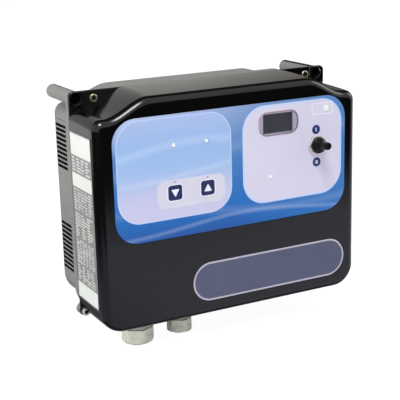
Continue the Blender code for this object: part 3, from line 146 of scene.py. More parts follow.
def camera_axes(azimuth, elevation, roll):
    """The right, up and backward axes of a camera as the columns of a matrix."""
    level = math.cos(elevation)
    back = Vector((math.sin(azimuth) * level, -math.cos(azimuth) * level, math.sin(elevation)))
    right = (-back).cross(Vector((0, 0, 1))).normalized()
    up = right.cross(-back)
    turned_right = right * math.cos(roll) + up * math.sin(roll)
    turned_up = up * math.cos(roll) - right * math.sin(roll)
    return Matrix((turned_right, turned_up, back)).transposed().to_4x4()


camera = linked("camera", bpy.data.cameras.new("camera"))
camera.data.lens = LENS
camera.matrix_world = Matrix.Translation(EYE) @ camera_axes(AZIMUTH, ELEVATION, ROLL)
scene.camera = camera
print("camera", [round(x, 3) for x in camera.location])

# %% [markdown]
# ## Nodes
# Every finish below is a small node tree, and so is every repeat. One helper keeps them short: it adds a
# node and fills its sockets, either with a plain value or with a link from another node. The others are
# built on it, such as a colour ramp from a list of stops.


# %% Node helpers
def node(tree, kind, inputs=(), family="ShaderNode", **settings):
    """Adds a node, sets its options and fills its sockets with values or links."""
    made = tree.nodes.new(family + kind)
    for name, value in settings.items():
        setattr(made, name, value)
    for socket, value in dict(inputs).items():
        if isinstance(value, bpy.types.NodeSocket):
            tree.links.new(value, made.inputs[socket])
        else:
            made.inputs[socket].default_value = value
    return made


def maths(tree, operation, first, second=0.0):
    """One sum on a value, as an output socket."""
    return node(tree, "Math", {0: first, 1: second}, operation=operation).outputs[0]


def stretched(tree, value, low, high, new_low, new_high):
    """A value moved from one range to another and kept inside it."""
    names = ("Value", "From Min", "From Max", "To Min", "To Max")
    return node(tree, "MapRange", dict(zip(names, (value, low, high, new_low, new_high)))).outputs[0]


def ramp(tree, value, stops):
    """A colour read from a list of (position, colour) stops."""
    made = node(tree, "ValToRGB", {"Fac": value})
    elements = made.color_ramp.elements
    elements[0].position = stops[0][0]
    elements[1].position = stops[-1][0]
    for at, _ in stops[1:-1]:
        elements.new(at)
    for element, (_, colour) in zip(elements, stops):
        element.color = (*colour, 1.0)
    return made.outputs["Color"]


def mixed(tree, share, first, second):
    """A colour between two others, by a share."""
    return node(tree, "Mix", {"Factor": share, 6: first, 7: second}, data_type="RGBA").outputs[2]


def noise(tree, place, scale):
    """A cloudy value between 0 and 1, with a number of clouds in each metre."""
    return node(tree, "TexNoise", {"Vector": place, "Scale": scale, "Detail": 3.0}).outputs["Fac"]


def plain_finish(name, sockets):
    """A Principled material with plain values on its own sockets."""
    material = bpy.data.materials.new(name)
    material.use_nodes = True
    tree = material.node_tree
    shader = tree.nodes["Principled BSDF"]
    for socket, value in sockets.items():
        shader.inputs[socket].default_value = value
    return material, tree, shader


def object_place(tree):
    """The place of a point on its own object, in metres."""
    return node(tree, "TexCoord").outputs["Object"]


# %% [markdown]
# ## Studio
# The picture is a plain product shot on white. The world and the floor are white where the camera, a
# mirror or a window looks at them, and give a calm level of light to everything else, so that a colour
# shows about as it is written. Gloss black shows mostly what it mirrors, so dark cards stand where the
# upper front, the left side and the rounded top edge look, and pale ones lie where the lower front and
# the lower left corner look. Where two of them meet, the pale one fades into the dark one, because a
# hard edge would show in the gloss as a line. They are stage things that only mirrors can see.

# %% Studio
AMBIENT = 0.55
FLOOR_COLOUR = (0.82, 0.82, 0.82, 1.0)
FLOOR_SIDE = 8.0
FLOOR_GLOW_SHARE = 0.78
FLOOR_GLOW = 1.22
FLOOR_DROP = 0.0004


def seen_directly(tree):
    """1 where the camera, a reflection or a view through glass looks, and 0 for light that spreads."""
    path = node(tree, "LightPath").outputs
    mirrored = maths(tree, "MAXIMUM", path["Is Glossy Ray"], path["Is Transmission Ray"])
    return maths(tree, "MAXIMUM", path["Is Camera Ray"], mirrored)


def make_world():
    """White to look at, and a plain level of light otherwise."""
    world = bpy.data.worlds.new("studio")
    scene.world = world
    world.use_nodes = True
    tree = world.node_tree
    background = tree.nodes["Background"]
    strength = stretched(tree, seen_directly(tree), 0.0, 1.0, AMBIENT, 1.0)
    tree.links.new(strength, background.inputs["Strength"])
    background.inputs["Color"].default_value = (1.0, 1.0, 1.0, 1.0)


def flat_card(name, corners):
    """A flat stage card between four corners."""
    mesh = bpy.data.meshes.new(name)
    mesh.from_pydata(corners, [], [tuple(range(len(corners)))])
    card = linked(name, mesh)
    return card


def make_floor():
    """A pale floor just below the object, which looks white but keeps a soft shadow."""
    side = FLOOR_SIDE / 2
    z = CAD_BOX[0].z - FLOOR_DROP
    floor = flat_card("floor", [(-side, -side, z), (side, -side, z), (side, side, z), (-side, side, z)])
    material = bpy.data.materials.new("floor_white")
    material.use_nodes = True
    tree = material.node_tree
    tree.nodes.remove(tree.nodes["Principled BSDF"])
    matt = node(tree, "BsdfDiffuse", {"Color": FLOOR_COLOUR}).outputs[0]
    glow = node(tree, "Emission", {"Color": (1.0, 1.0, 1.0, 1.0), "Strength": FLOOR_GLOW}).outputs[0]
    share = maths(tree, "MULTIPLY", seen_directly(tree), FLOOR_GLOW_SHARE)
    surface = node(tree, "MixShader", {0: share, 1: matt, 2: glow}).outputs[0]
    tree.links.new(surface, tree.nodes["Material Output"].inputs["Surface"])
    floor.data.materials.append(material)


def lying(x_range, y_range, z):
    """The corners of a card that lies level."""
    (left, right), (front, back) = x_range, y_range
    return [(left, front, z), (right, front, z), (right, back, z), (left, back, z)]


def standing(x_range, y, z_range):
    """The corners of a card that stands across the view."""
    (left, right), (low, high) = x_range, z_range
    return [(left, y, low), (right, y, low), (right, y, high), (left, y, high)]


def mirror_card(name, corners, colour):
    """A card that only reflections can see."""
    card = flat_card(name, corners)
    sockets = {"Base Color": (0.0, 0.0, 0.0, 1.0), "Specular IOR Level": 0.0}
    sockets.update({"Emission Color": (*colour, 1.0), "Emission Strength": 1.0})
    material, tree, shader = plain_finish(name, sockets)
    card.data.materials.append(material)
    for kind in ("camera", "diffuse", "transmission", "shadow"):
        setattr(card, "visible_" + kind, False)
    return tree, shader


def fading_card(name, corners, ranges, first, second):
    """A mirror card that fades between two colours, from a start to an end along each axis in ranges."""
    tree, shader = mirror_card(name, corners, second)
    split = node(tree, "SeparateXYZ", {"Vector": object_place(tree)}).outputs
    shares = [stretched(tree, split[axis], *ends, 0.0, 1.0) for axis, ends in ranges.items()]
    share = shares[0]
    for other in shares[1:]:
        share = maths(tree, "MULTIPLY", share, other)
    tree.links.new(ramp(tree, share, [(0.0, first), (1.0, second)]), shader.inputs["Emission Color"])


def softbox(name, place, target, size, power, mirrored=True):
    """A square area lamp that faces a point."""
    lamp = bpy.data.lights.new(name, "AREA")
    lamp.size = size
    lamp.energy = power
    obj = linked(name, lamp)
    obj.location = place
    obj.rotation_euler = (Vector(target) - Vector(place)).to_track_quat("-Z", "Y").to_euler()
    obj.visible_glossy = mirrored


CARD_Z = CAD_BOX[0].z + 0.001
CORNER_CARD_Z = CARD_Z + 0.0005
CASE_X = -0.17
CASE_Y = -0.13
NEAR_SPAN = (CASE_X, 1.0)
NEAR_FADE = (CASE_X, -0.02)
NEAR_Y = -0.42
FAR_Y = -0.68
FAR_SPAN = (-0.6, 2.6)
WALL_Y = -3.9
WALL_SPAN = (-2.0, 3.5)
WALL_TOP = 1.2
LEFT_SPAN = (-2.4, CASE_X)
LEFT_DEPTH = (-1.3, 0.5)
CORNER_X = -0.50
CORNER_DEPTH = (-0.45, 0.22)
CORNER_FADES = {"X": (CORNER_X, -0.32), "Y": (0.22, -0.10)}
UNDER_SPAN = (CASE_X, 0.25)
UNDER_DEPTH = (CASE_Y, 0.1)
BACK_Y = 1.7
BACK_SPAN = (-1.6, 3.4)
HAZE_TOP = 1.40
HAZE_FADE = (0.88, 1.75)
HIGH_Y = -0.1
HIGH_Z = 2.6
DARK = (0.008, 0.008, 0.009)
DIM = (0.14, 0.14, 0.16)
WARM_DARK = (0.050, 0.042, 0.036)
HAZE = (0.66, 0.64, 0.61)
PALE = (0.82, 0.83, 0.98)
HALF_PALE = (0.50, 0.51, 0.60)
BOX_MIDDLE = (0.0, -0.08, 0.0)
LEFT_SIDE = (-0.14, -0.05, -0.03)
make_world()
make_floor()
mirror_card("front_card", lying(FAR_SPAN, (WALL_Y, FAR_Y), CARD_Z), DARK)
mirror_card("front_wall", standing(WALL_SPAN, WALL_Y, (CARD_Z, WALL_TOP)), DARK)
near_card = lying(NEAR_SPAN, (NEAR_Y, CASE_Y), CARD_Z)
fading_card("near_card", near_card, {"X": NEAR_FADE}, HALF_PALE, PALE)
far_card = lying(NEAR_SPAN, (FAR_Y, NEAR_Y), CARD_Z)
fading_card("far_card", far_card, {"X": NEAR_FADE, "Y": (FAR_Y, NEAR_Y)}, DARK, PALE)
mirror_card("left_card", lying(LEFT_SPAN, LEFT_DEPTH, CARD_Z), DARK)
corner_card = lying((CORNER_X, CASE_X), CORNER_DEPTH, CORNER_CARD_Z)
fading_card("corner_card", corner_card, CORNER_FADES, DARK, HALF_PALE)
mirror_card("under_card", lying(UNDER_SPAN, UNDER_DEPTH, CARD_Z), DIM)
haze_card = standing(BACK_SPAN, BACK_Y, (CARD_Z, HAZE_TOP))
fading_card("haze_card", haze_card, {"X": HAZE_FADE}, HAZE, WARM_DARK)
left, right = BACK_SPAN
high_card = [(left, BACK_Y, HAZE_TOP), (right, BACK_Y, HAZE_TOP)]
high_card += [(right, HIGH_Y, HIGH_Z), (left, HIGH_Y, HIGH_Z)]
mirror_card("high_card", high_card, WARM_DARK)
softbox("key_light", (-0.32, -0.72, 1.25), BOX_MIDDLE, size=0.5, power=14.0)
softbox("right_light", (1.3, -0.35, 0.75), BOX_MIDDLE, size=0.7, power=3.5)
softbox("left_light", (-0.95, 0.05, 0.28), LEFT_SIDE, size=0.5, power=5.0, mirrored=False)
print("floor at", round(CAD_BOX[0].z, 4))

# %% [markdown]
# ## Finishes
# Most of the box is moulded plastic. A mould leaves a fine grain, a slightly uneven gloss and very
# faint clouds in the colour, so one function makes all of them from noise at three sizes. Metal parts
# get the same with brighter values, and a constant always sits on the shader's own socket.

# %% Plastic, rubber and metal
CLOUDS = 22.0
CLOUD_SPAN = (0.3, 0.7)
GRAIN_SPAN = (0.25, 0.75)
GRAIN_DEPTH = 0.0002
UNEVEN = 0.12


def raised(tree, shader, height, strength, distance):
    """A relief that follows a value."""
    bump = node(tree, "Bump", {"Height": height, "Strength": strength, "Distance": distance})
    tree.links.new(bump.outputs[0], shader.inputs["Normal"])


def roughen(tree, shader, place, grain, roughness, relief):
    """Uneven gloss and a fine relief from one noise."""
    fine = noise(tree, place, grain)
    uneven = stretched(tree, fine, *GRAIN_SPAN, roughness * (1 - UNEVEN), roughness * (1 + UNEVEN))
    tree.links.new(uneven, shader.inputs["Roughness"])
    raised(tree, shader, fine, relief, GRAIN_DEPTH)


def moulded(name, colour, roughness, grain=1400.0, mottle=0.1, relief=0.06, **sockets):
    """Moulded plastic, rubber or plated metal: faint clouds of colour, uneven gloss and a fine grain."""
    named = {socket.replace("_", " "): value for socket, value in sockets.items()}
    material, tree, shader = plain_finish(name, named)
    place = object_place(tree)
    tones = [[c * (1 + change) for c in colour] for change in (-mottle, mottle)]
    clouds = ramp(tree, noise(tree, place, CLOUDS), list(zip(CLOUD_SPAN, tones)))
    tree.links.new(clouds, shader.inputs["Base Color"])
    roughen(tree, shader, place, grain, roughness, relief)
    return material


COVER_BLACK = moulded("cover_black", (0.0024, 0.0024, 0.0027), 0.14, grain=420.0, relief=0.012, IOR=1.46)
HOUSING_GREY = moulded("housing_grey", (0.185, 0.185, 0.179), 0.52, grain=2600.0, mottle=0.05, relief=0.22)
# Painted shade: a near-black finish for the tube bores and the vent slot walls, which are the same grey
# plastic as the rest of the housing.
PAINTED_RECESS_SHADE = moulded("painted_recess_shade", (0.012, 0.012, 0.012), 0.6, Specular_IOR_Level=0.1)
# Painted shade: a dark brown finish for the sockets of the screw heads, which are the same metal as the
# heads.
SOCKET_PAINTED_SHADE = moulded("socket_painted_shade", (0.030, 0.022, 0.012), 0.5, Specular_IOR_Level=0.2)
KEY_NAVY = moulded("key_navy", (0.013, 0.020, 0.105), 0.34)
PRINT_NAVY = moulded("print_navy", (0.008, 0.026, 0.150), 0.36)
PRINT_WHITE = moulded("print_white", (0.80, 0.83, 0.93), 0.34, mottle=0.02)
PRINT_LILAC = moulded("print_lilac", (0.64, 0.62, 0.775), 0.34, mottle=0.02)
PRINT_SKY = moulded("print_sky", (0.50, 0.63, 0.90), 0.34, mottle=0.03)
PRINT_PALE = moulded("print_pale", (0.64, 0.635, 0.755), 0.34, mottle=0.02)
PRINT_ROSE = moulded("print_rose", (0.47, 0.26, 0.32), 0.34, mottle=0.04)
PRINT_INK = moulded("print_ink", (0.10, 0.08, 0.12), 0.4)
PLATE_SLATE = moulded("plate_slate", (0.074, 0.083, 0.150), 0.36, mottle=0.05)
PLATE_RIM = moulded("plate_rim", (0.47, 0.45, 0.54), 0.36, mottle=0.03)
BEZEL_GREY = moulded("bezel_grey", (0.60, 0.59, 0.74), 0.42, mottle=0.04)
SCREEN_BLACK = moulded("screen_black", (0.0108, 0.0108, 0.028), 0.3, mottle=0.05, Specular_IOR_Level=0.12)
SEGMENT_GREY = moulded("segment_grey", (0.021, 0.020, 0.042), 0.3, mottle=0.05, Specular_IOR_Level=0.12)
LABEL_SILVER = moulded("label_silver", (0.20, 0.20, 0.195), 0.38, grain=2200.0, mottle=0.08)
LABEL_WHITE = moulded("label_white", (0.62, 0.64, 0.605), 0.42, mottle=0.03)
LABEL_LIGHT = moulded("label_light", (0.56, 0.57, 0.55), 0.42, mottle=0.1)
RUBBER_BLACK = moulded("rubber_black", (0.0035, 0.0035, 0.0035), 0.17, relief=0.08, Specular_IOR_Level=0.15)
BRIGHT_METAL = moulded("bright_metal", (0.88, 0.85, 0.78), 0.16, mottle=0.04, relief=0.03, Metallic=1.0)
NUT_SILVER = moulded("nut_silver", (0.86, 0.81, 0.71), 0.30, mottle=0.05, relief=0.03, Metallic=0.88)
SCREW_NICKEL = moulded("screw_nickel", (0.80, 0.77, 0.70), 0.36, mottle=0.06, relief=0.03, Metallic=0.7)
SCREW_ZINC = moulded("screw_zinc", (0.74, 0.64, 0.44), 0.27, mottle=0.08, relief=0.05, Metallic=1.0)
GLAND_GREY = moulded("gland_grey", (0.72, 0.735, 0.635), 0.42, grain=1800.0, mottle=0.04, relief=0.1)
# Painted shade: a gland's tube and collar are the same nylon as its nut, drawn darker for the shade under
# the cover.
COLLAR_PAINTED_SHADE = moulded("collar_painted_shade", (0.38, 0.39, 0.335), 0.42, grain=1800.0, mottle=0.04, relief=0.1)
print("finishes:", len(bpy.data.materials))

# %% [markdown]
# Lenses and the display window let light through. The lens is milky, so light goes a little way into
# it, and the window is clear with a sharp gloss.

# %% Lens and window
MILKY = {"Subsurface_Weight": 0.3, "Subsurface_Scale": 0.002}
SMEARS = 60.0
HAZINESS = (0.02, 0.06)
LENS_WHITE = moulded("lens_white", (0.86, 0.87, 0.93), 0.2, mottle=0.02, relief=0.01, **MILKY)
WINDOW_CLEAR, window_tree, window_shader = plain_finish(
    "window_clear",
    {"Base Color": (0.93, 0.92, 0.96, 1.0), "IOR": 1.45, "Transmission Weight": 1.0},
)
smears = noise(window_tree, object_place(window_tree), SMEARS)
haziness = stretched(window_tree, smears, *CLOUD_SPAN, *HAZINESS)
window_tree.links.new(haziness, window_shader.inputs["Roughness"])
print("clear:", WINDOW_CLEAR.name)

# %% [markdown]
# The film is printed in blues that fade from pale at its top left to deep at its foot, with a few soft
# bands like light on water. The print follows the height and the place across the film, and each band
# is a sine curve with a soft edge, so the whole picture is a formula and stays sharp at any size. A
# band is written as its rise above the film's foot, its swing, its waves in a metre, where its wave
# starts, its width and its strength.


# %% Printed water
def soft_band(tree, x, z, rise, swing, waves, start, width, strength):
    """How much of a soft, waving band of light a point gets. It rises from the foot of the film."""
    turn = maths(tree, "ADD", maths(tree, "MULTIPLY", x, waves), start)
    line = maths(tree, "MULTIPLY", maths(tree, "SINE", turn), swing)
    line = maths(tree, "ADD", line, FILM_LOW.z + rise)
    away = maths(tree, "ABSOLUTE", maths(tree, "SUBTRACT", z, line))
    return stretched(tree, away, 0.0, width, strength, 0.0)


def pale_corner(tree, x, z, colour):
    """A colour that turns pale towards the top left corner of the film."""
    across = stretched(tree, x, FILM_LOW.x, FILM_LOW.x + CORNER_REACH[0], 1.0, 0.0)
    up = stretched(tree, z, FILM_HIGH.z - CORNER_REACH[1], FILM_HIGH.z, 0.0, 1.0)
    return mixed(tree, maths(tree, "MULTIPLY", across, up), colour, CORNER_PALE)


def water_print(name, stops, bands, calm, has_corner=False):
    """A printed film: colours by height, calmer towards the right, with soft bands of light."""
    material, tree, shader = plain_finish(name, {"Specular IOR Level": FILM_GLOSS})
    place = object_place(tree)
    split = node(tree, "SeparateXYZ", {"Vector": place}).outputs
    x, z = split["X"], split["Z"]
    height = stretched(tree, z, FILM_LOW.z, FILM_HIGH.z, 0.0, 1.0)
    calm_height, calm_share = calm
    aside = stretched(tree, x, 0.0, FILM_HIGH.x, 0.0, calm_share)
    lift = maths(tree, "MULTIPLY", aside, maths(tree, "SUBTRACT", calm_height, height))
    colour = ramp(tree, maths(tree, "ADD", height, lift), stops)
    for band in bands:
        colour = mixed(tree, soft_band(tree, x, z, *band), colour, BAND_PALE)
    if has_corner:
        colour = pale_corner(tree, x, z, colour)
    tree.links.new(colour, shader.inputs["Base Color"])
    roughen(tree, shader, place, FILM_GRAIN, FILM_ROUGHNESS, FILM_RELIEF)
    return material


FILM_GLOSS = 0.28
FILM_GRAIN = 1600.0
FILM_ROUGHNESS = 0.33
FILM_RELIEF = 0.03
FILM_CALM = (0.55, 0.7)
PANEL_CALM = (0.5, 0.0)
CORNER_REACH = (0.16, 0.034)
CORNER_PALE = (0.50, 0.58, 0.84, 1.0)
BAND_PALE = (0.72, 0.82, 0.96, 1.0)
FILM_STOPS = [
    (0.0, (0.012, 0.088, 0.35)),
    (0.14, (0.011, 0.128, 0.45)),
    (0.30, (0.020, 0.155, 0.49)),
    (0.55, (0.056, 0.188, 0.50)),
    (0.80, (0.120, 0.250, 0.52)),
    (1.0, (0.190, 0.300, 0.56)),
]
FILM_BANDS = [
    (0.0083, 0.0050, 24.0, 1.2, 0.0030, 0.16),
    (0.0203, 0.0080, 15.0, 3.6, 0.0060, 0.09),
    (0.0733, 0.0120, 11.0, 0.4, 0.0080, 0.11),
]
PANEL_STOPS = [
    (0.0, (0.60, 0.57, 0.77)),
    (0.34, (0.53, 0.54, 0.77)),
    (0.55, (0.34, 0.49, 0.78)),
    (0.75, (0.30, 0.46, 0.77)),
    (1.0, (0.39, 0.49, 0.77)),
]
PANEL_BANDS = [
    (0.0793, 0.0100, 19.0, 2.3, 0.0060, 0.24),
    (0.0603, 0.0060, 23.0, 0.9, 0.0040, 0.20),
]
FILM_BLUE = water_print("film_blue", FILM_STOPS, FILM_BANDS, FILM_CALM, True)
PANEL_BLUE = water_print("panel_blue", PANEL_STOPS, PANEL_BANDS, PANEL_CALM)
print("printed finishes:", FILM_BLUE.name, PANEL_BLUE.name)

# %% [markdown]
# ## Mesh helpers
# The pieces are drawn as outlines and then stacked, turned or filled. An outline is a list of points, and
# all of its round stretches come from one arc function.


# %% Outlines
def arc(x, y, radius, start, end, steps=10):
    """Points along an arc, both ends included, with its angles in degrees."""
    angles = [math.radians(start + (end - start) * i / steps) for i in range(steps + 1)]
    return [(x + radius * math.cos(angle), y + radius * math.sin(angle)) for angle in angles]


def circle(radius, at=(0, 0), steps=48):
    """Points round a circle."""
    return arc(*at, radius, 0, 360, steps)[:-1]


def hexagon(flats, first=30):
    """A hexagon by its width across flats, with the angle of its first corner."""
    return arc(0, 0, flats / math.sqrt(3), first, first + 360, 6)[:-1]


def soft_polygon(corners, reach, radius, first, steps):
    """A polygon with rounded corners, by the reach of its sharp corners and the angle of the first."""
    half = 180 / corners
    inner = reach - radius / math.cos(math.radians(half))
    points = []
    for i in range(corners):
        turn = first + 2 * half * i
        x = inner * math.cos(math.radians(turn))
        y = inner * math.sin(math.radians(turn))
        points += arc(x, y, radius, turn - half, turn + half, steps)
    return points


def rectangle(width, height, radius, at=(0, 0), steps=10):
    """A rectangle with rounded corners."""
    points = []
    for quarter, (across, up) in enumerate(((1, 1), (-1, 1), (-1, -1), (1, -1))):
        x = at[0] + across * (width / 2 - radius)
        y = at[1] + up * (height / 2 - radius)
        points += arc(x, y, radius, 90 * quarter, 90 * quarter + 90, steps)
    return points


def between(low, high, radius):
    """A rounded rectangle by its lower left and upper right corners."""
    size = (high[0] - low[0], high[1] - low[1])
    return rectangle(*size, radius, ((low[0] + high[0]) / 2, (low[1] + high[1]) / 2))


def eased(t):
    """A share that starts and ends gently."""
    return t * t * (3 - 2 * t)


# %% [markdown]
# A stack joins outlines of equal length into a closed skin, a turned shape goes round an axis, and a filled
# plate may have holes. All of them are welded, so that a later cut finds no open seam.

# %% Closed shapes
WELD = 1e-6
SLIVER = 1e-7


def finished(bm):
    """A mesh from an edit mesh, with its seams welded and its faces turned outwards."""
    bmesh.ops.remove_doubles(bm, verts=bm.verts, dist=WELD)
    bmesh.ops.dissolve_degenerate(bm, edges=bm.edges, dist=SLIVER)
    bmesh.ops.recalc_face_normals(bm, faces=bm.faces)
    mesh = bpy.data.meshes.new("shape")
    bm.to_mesh(mesh)
    bm.free()
    return mesh


def stack(rings):
    """A closed skin through rings with equal numbers of points."""
    bm = bmesh.new()
    loops = [[bm.verts.new(point) for point in ring] for ring in rings]
    for loop, after in zip(loops, loops[1:]):
        for i, corner in enumerate(loop):
            j = (i + 1) % len(loop)
            bm.faces.new((corner, loop[j], after[j], after[i]))
    bm.faces.new(loops[0])
    bm.faces.new(loops[-1])
    return finished(bm)


def slab(outline, profile):
    """A flat piece whose outline shrinks by an inset at each height: profile holds (inset, height) pairs."""
    return stack([[(x, y, height) for x, y in outline(inset)] for inset, height in profile])


def prism(points, low, high):
    """A straight bar between two heights."""
    return stack([[(x, y, z) for x, y in points] for z in (low, high)])


def turned(profile, steps=48):
    """A piece turned about z from (radius, height) points that start and end on the axis."""
    bm = bmesh.new()
    points = [bm.verts.new((radius, 0, height)) for radius, height in profile]
    edges = [bm.edges.new(pair) for pair in zip(points, points[1:])]
    around = {"cent": (0, 0, 0), "axis": (0, 0, 1), "angle": math.tau}
    bmesh.ops.spin(bm, geom=points + edges, steps=steps, use_merge=True, **around)
    return finished(bm)


def plain_mesh(obj):
    """The mesh of an object with its modifiers applied. The object is removed."""
    bpy.context.view_layer.update()
    graph = bpy.context.evaluated_depsgraph_get()
    mesh = bpy.data.meshes.new_from_object(obj.evaluated_get(graph), depsgraph=graph)
    bpy.data.objects.remove(obj)
    return mesh


def filled(outlines, low, high):
    """A flat plate between two heights: the first outline is its edge, the others are holes."""
    curve = bpy.data.curves.new("outline", "CURVE")
    curve.dimensions = "2D"
    curve.fill_mode = "BOTH"
    curve.extrude = (high - low) / 2
    for points in outlines:
        spline = curve.splines.new("POLY")
        spline.points.add(len(points) - 1)
        spline.use_cyclic_u = True
        for point, (x, y) in zip(spline.points, points):
            point.co = (x, y, 0, 1)
    mesh = plain_mesh(linked("outline", curve))
    mesh.transform(Matrix.Translation((0, 0, (low + high) / 2)))
    bm = bmesh.new()
    bm.from_mesh(mesh)
    return finished(bm)


# %% [markdown]
# Cutting and joining use the Boolean modifier with its exact solver. After that, a flat face next to a
# rounded edge would be shaded as if it were bent, which shows at once on gloss black. Weighted normals
# cure that: the large flat faces win.


# %% Joining, cutting and placing
def joined(shapes):
    """One mesh from several (mesh, matrix) pairs."""
    bm = bmesh.new()
    for mesh, matrix in shapes:
        copy = mesh.copy()
        copy.transform(matrix)
        bm.from_mesh(copy)
        bpy.data.meshes.remove(copy)
    mesh = bpy.data.meshes.new("shapes")
    bm.to_mesh(mesh)
    bm.free()
    return mesh


def combined(mesh, operation, shapes):
    """A mesh with shapes joined to it, cut from it, or cut down to what they share."""
    base = linked("base", mesh)
    tool = linked("tool", joined(shapes))
    modifier = base.modifiers.new("shape", "BOOLEAN")
    modifier.operation = operation
    modifier.solver = "EXACT"
    modifier.object = tool
    result = plain_mesh(base)
    bpy.data.objects.remove(tool)
    bm = bmesh.new()
    bm.from_mesh(result)
    return finished(bm)


def shaded(mesh, angle=32.0):
    """Smooth shading with sharp edges kept and flat faces left flat."""
    mesh.shade_smooth()
    mesh.set_sharp_from_angle(angle=math.radians(angle))
    obj = linked("shading", mesh)
    modifier = obj.modifiers.new("normals", "WEIGHTED_NORMAL")
    modifier.keep_sharp = True
    return plain_mesh(obj)


def piece(name, mesh, material, replaces=(), body="box"):
    """Puts a finished mesh in the scene as a piece of the object."""
    smooth = shaded(mesh)
    smooth.materials.clear()
    smooth.materials.append(material)
    obj = linked(name, smooth)
    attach(obj, body)
    if replaces:
        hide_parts(*replaces)
    print(name, len(smooth.polygons), "faces")
    return obj


UPRIGHT = Matrix.Rotation(math.pi / 2, 4, "X")
STILL = Matrix.Identity(4)


def facing(x, z, y=FRONT_Y):
    """Places a shape drawn flat so that it faces the front with its base at a depth."""
    return Matrix.Translation((x, y, z)) @ UPRIGHT


def placed(mesh, matrix):
    """A mesh moved to its place."""
    mesh.transform(matrix)
    return mesh


def ring_at(outline, y):
    """An outline of the front view as a ring of points at one depth."""
    return [(x, y, z) for x, z in outline]


# %% [markdown]
# ## Cover
# The cover is one deep moulding: round lower corners, and a top edge that falls in a soft step at both
# ends to make room for the wall tubes. Its front edge has a generous round. A subdivision surface would
# need many holding loops here, so the skin is a stack of outlines, with one outline for each step round
# the front edge.

# %% Casing outline
BOTTOM_RADIUS = 0.0225
SHOULDER_DROP = 0.0165
SHOULDER_IN = 0.012
SHOULDER_RUN = 0.044
SHOULDER_RADIUS = 0.010
FRONT_FILLET = 0.008
TOP_DRAFT = 0.002
COVER_WALL = 0.003
CAVITY_CORNER = 0.012
LAP = 0.0002
EDGE = 0.0005
CURVE_STEPS = 28
FILLET_STEPS = 10
DRAFT_STEPS = 8
SHOULDER_Z = TOP - SHOULDER_DROP


def stepped_outline(inset, margins, corner, shoulder_radius, drop):
    """The casing's kind of outline, with margins to the casing at the sides, the top and the bottom."""
    side_in, top_in, bottom_in = margins
    half = HALF - side_in
    foot = half - SHOULDER_IN
    side = half - inset
    bottom = BOTTOM + bottom_in + inset
    shoulder = TOP - top_in - inset - drop
    low_radius = corner - inset
    high_radius = max(shoulder_radius - inset, LAP)
    right = arc(side - low_radius, bottom + low_radius, low_radius, -90, 0, 16)
    right += arc(side - high_radius, shoulder - high_radius, high_radius, 0, 90, 12)
    for i in range(CURVE_STEPS + 1):
        t = i / CURVE_STEPS
        right.append((foot - SHOULDER_RUN * t, shoulder + drop * eased(t)))
    return right + [(-x, z) for x, z in reversed(right)]


def casing_outline(inset, top_in=0.0, corner=BOTTOM_RADIUS):
    """The front view of the casing, shrunk by an inset."""
    return stepped_outline(inset, (0.0, top_in, 0.0), corner, SHOULDER_RADIUS, SHOULDER_DROP)


def cover_skin(wall, rear_y, extra_corner):
    """The cover's outer skin, or its hollow if it has a wall. Its top bends down a little to the front."""
    corner = BOTTOM_RADIUS + extra_corner
    rings = []
    if not wall:
        rings.append(ring_at(casing_outline(EDGE), rear_y))
        rear_y -= EDGE
    fillet_y = FRONT_Y + FRONT_FILLET
    for i in range(DRAFT_STEPS):
        share = i / DRAFT_STEPS
        outline = casing_outline(wall, TOP_DRAFT * share * share, corner)
        rings.append(ring_at(outline, rear_y + (fillet_y - rear_y) * share))
    radius = FRONT_FILLET - wall
    for across, out in arc(0, 0, radius, 0, 90, FILLET_STEPS):
        outline = casing_outline(FRONT_FILLET - across, TOP_DRAFT, corner)
        rings.append(ring_at(outline, fillet_y - out))
    return stack(rings)


# %% [markdown]
# Each top corner has a flat plate with the hole of a wall tube, a raised pad round that hole and a
# cover screw. A small square plate closes each lower corner and takes a screw, with a channel in front
# of it for the driver.

# %% Corners of the cover
PLATE_WIDTH = 0.056
PLATE_THICKNESS = 0.003
PLATE_RADIUS = 0.0045
PLATE_HOLE_RADIUS = 0.0064
LOW_PLATE_RISE = 0.0028
PAD_RADIUS = 0.0098
PAD_PROUD = 0.0009
PAD_EDGE = 0.0008
TUBE_IN = 0.008
TUBE_BORE_RADIUS = 0.0055
SCOOP_RADIUS = 0.0068
SCOOP_LENGTH = 0.016
SCREW_HOLE = 0.0021
TUBE_Z = middle("cover_screw_top_left")[1]
TUBES = [(side * (HALF - TUBE_IN), TUBE_Z) for side in (-1, 1)]
LOW_SCREWS = [middle(name) for name in COVER_SCREWS[2:]]


def top_plate(side, inset, drop=0.0):
    """The flat plate that fills a top corner: side is -1 for left and 1 for right."""
    edge = HALF - LAP - inset
    top = TOP - LAP - inset - drop
    inner = HALF - PLATE_WIDTH
    low = SHOULDER_Z - SHOULDER_RADIUS - LAP
    radius = PLATE_RADIUS - inset
    round_corner = arc(edge - radius, top - radius, radius, 0, 90)
    points = [(inner, low), (edge, low)] + round_corner + [(inner, top)]
    return [(side * x, z) for x, z in points]


def tube_pad(side, inset):
    """The raised pad round a tube hole, cut off square by the plate's outer edges."""
    edge = HALF - 2 * LAP - inset
    top = TOP - 2 * LAP - inset
    x = HALF - TUBE_IN
    reach = PAD_RADIUS - inset
    radius = PLATE_RADIUS - inset
    points = [(edge, TUBE_Z - reach)] + arc(edge - radius, top - radius, radius, 0, 90)
    points += [(x - reach, top)] + arc(x, TUBE_Z, reach, 180, 270)
    return [(side * px, pz) for px, pz in points]


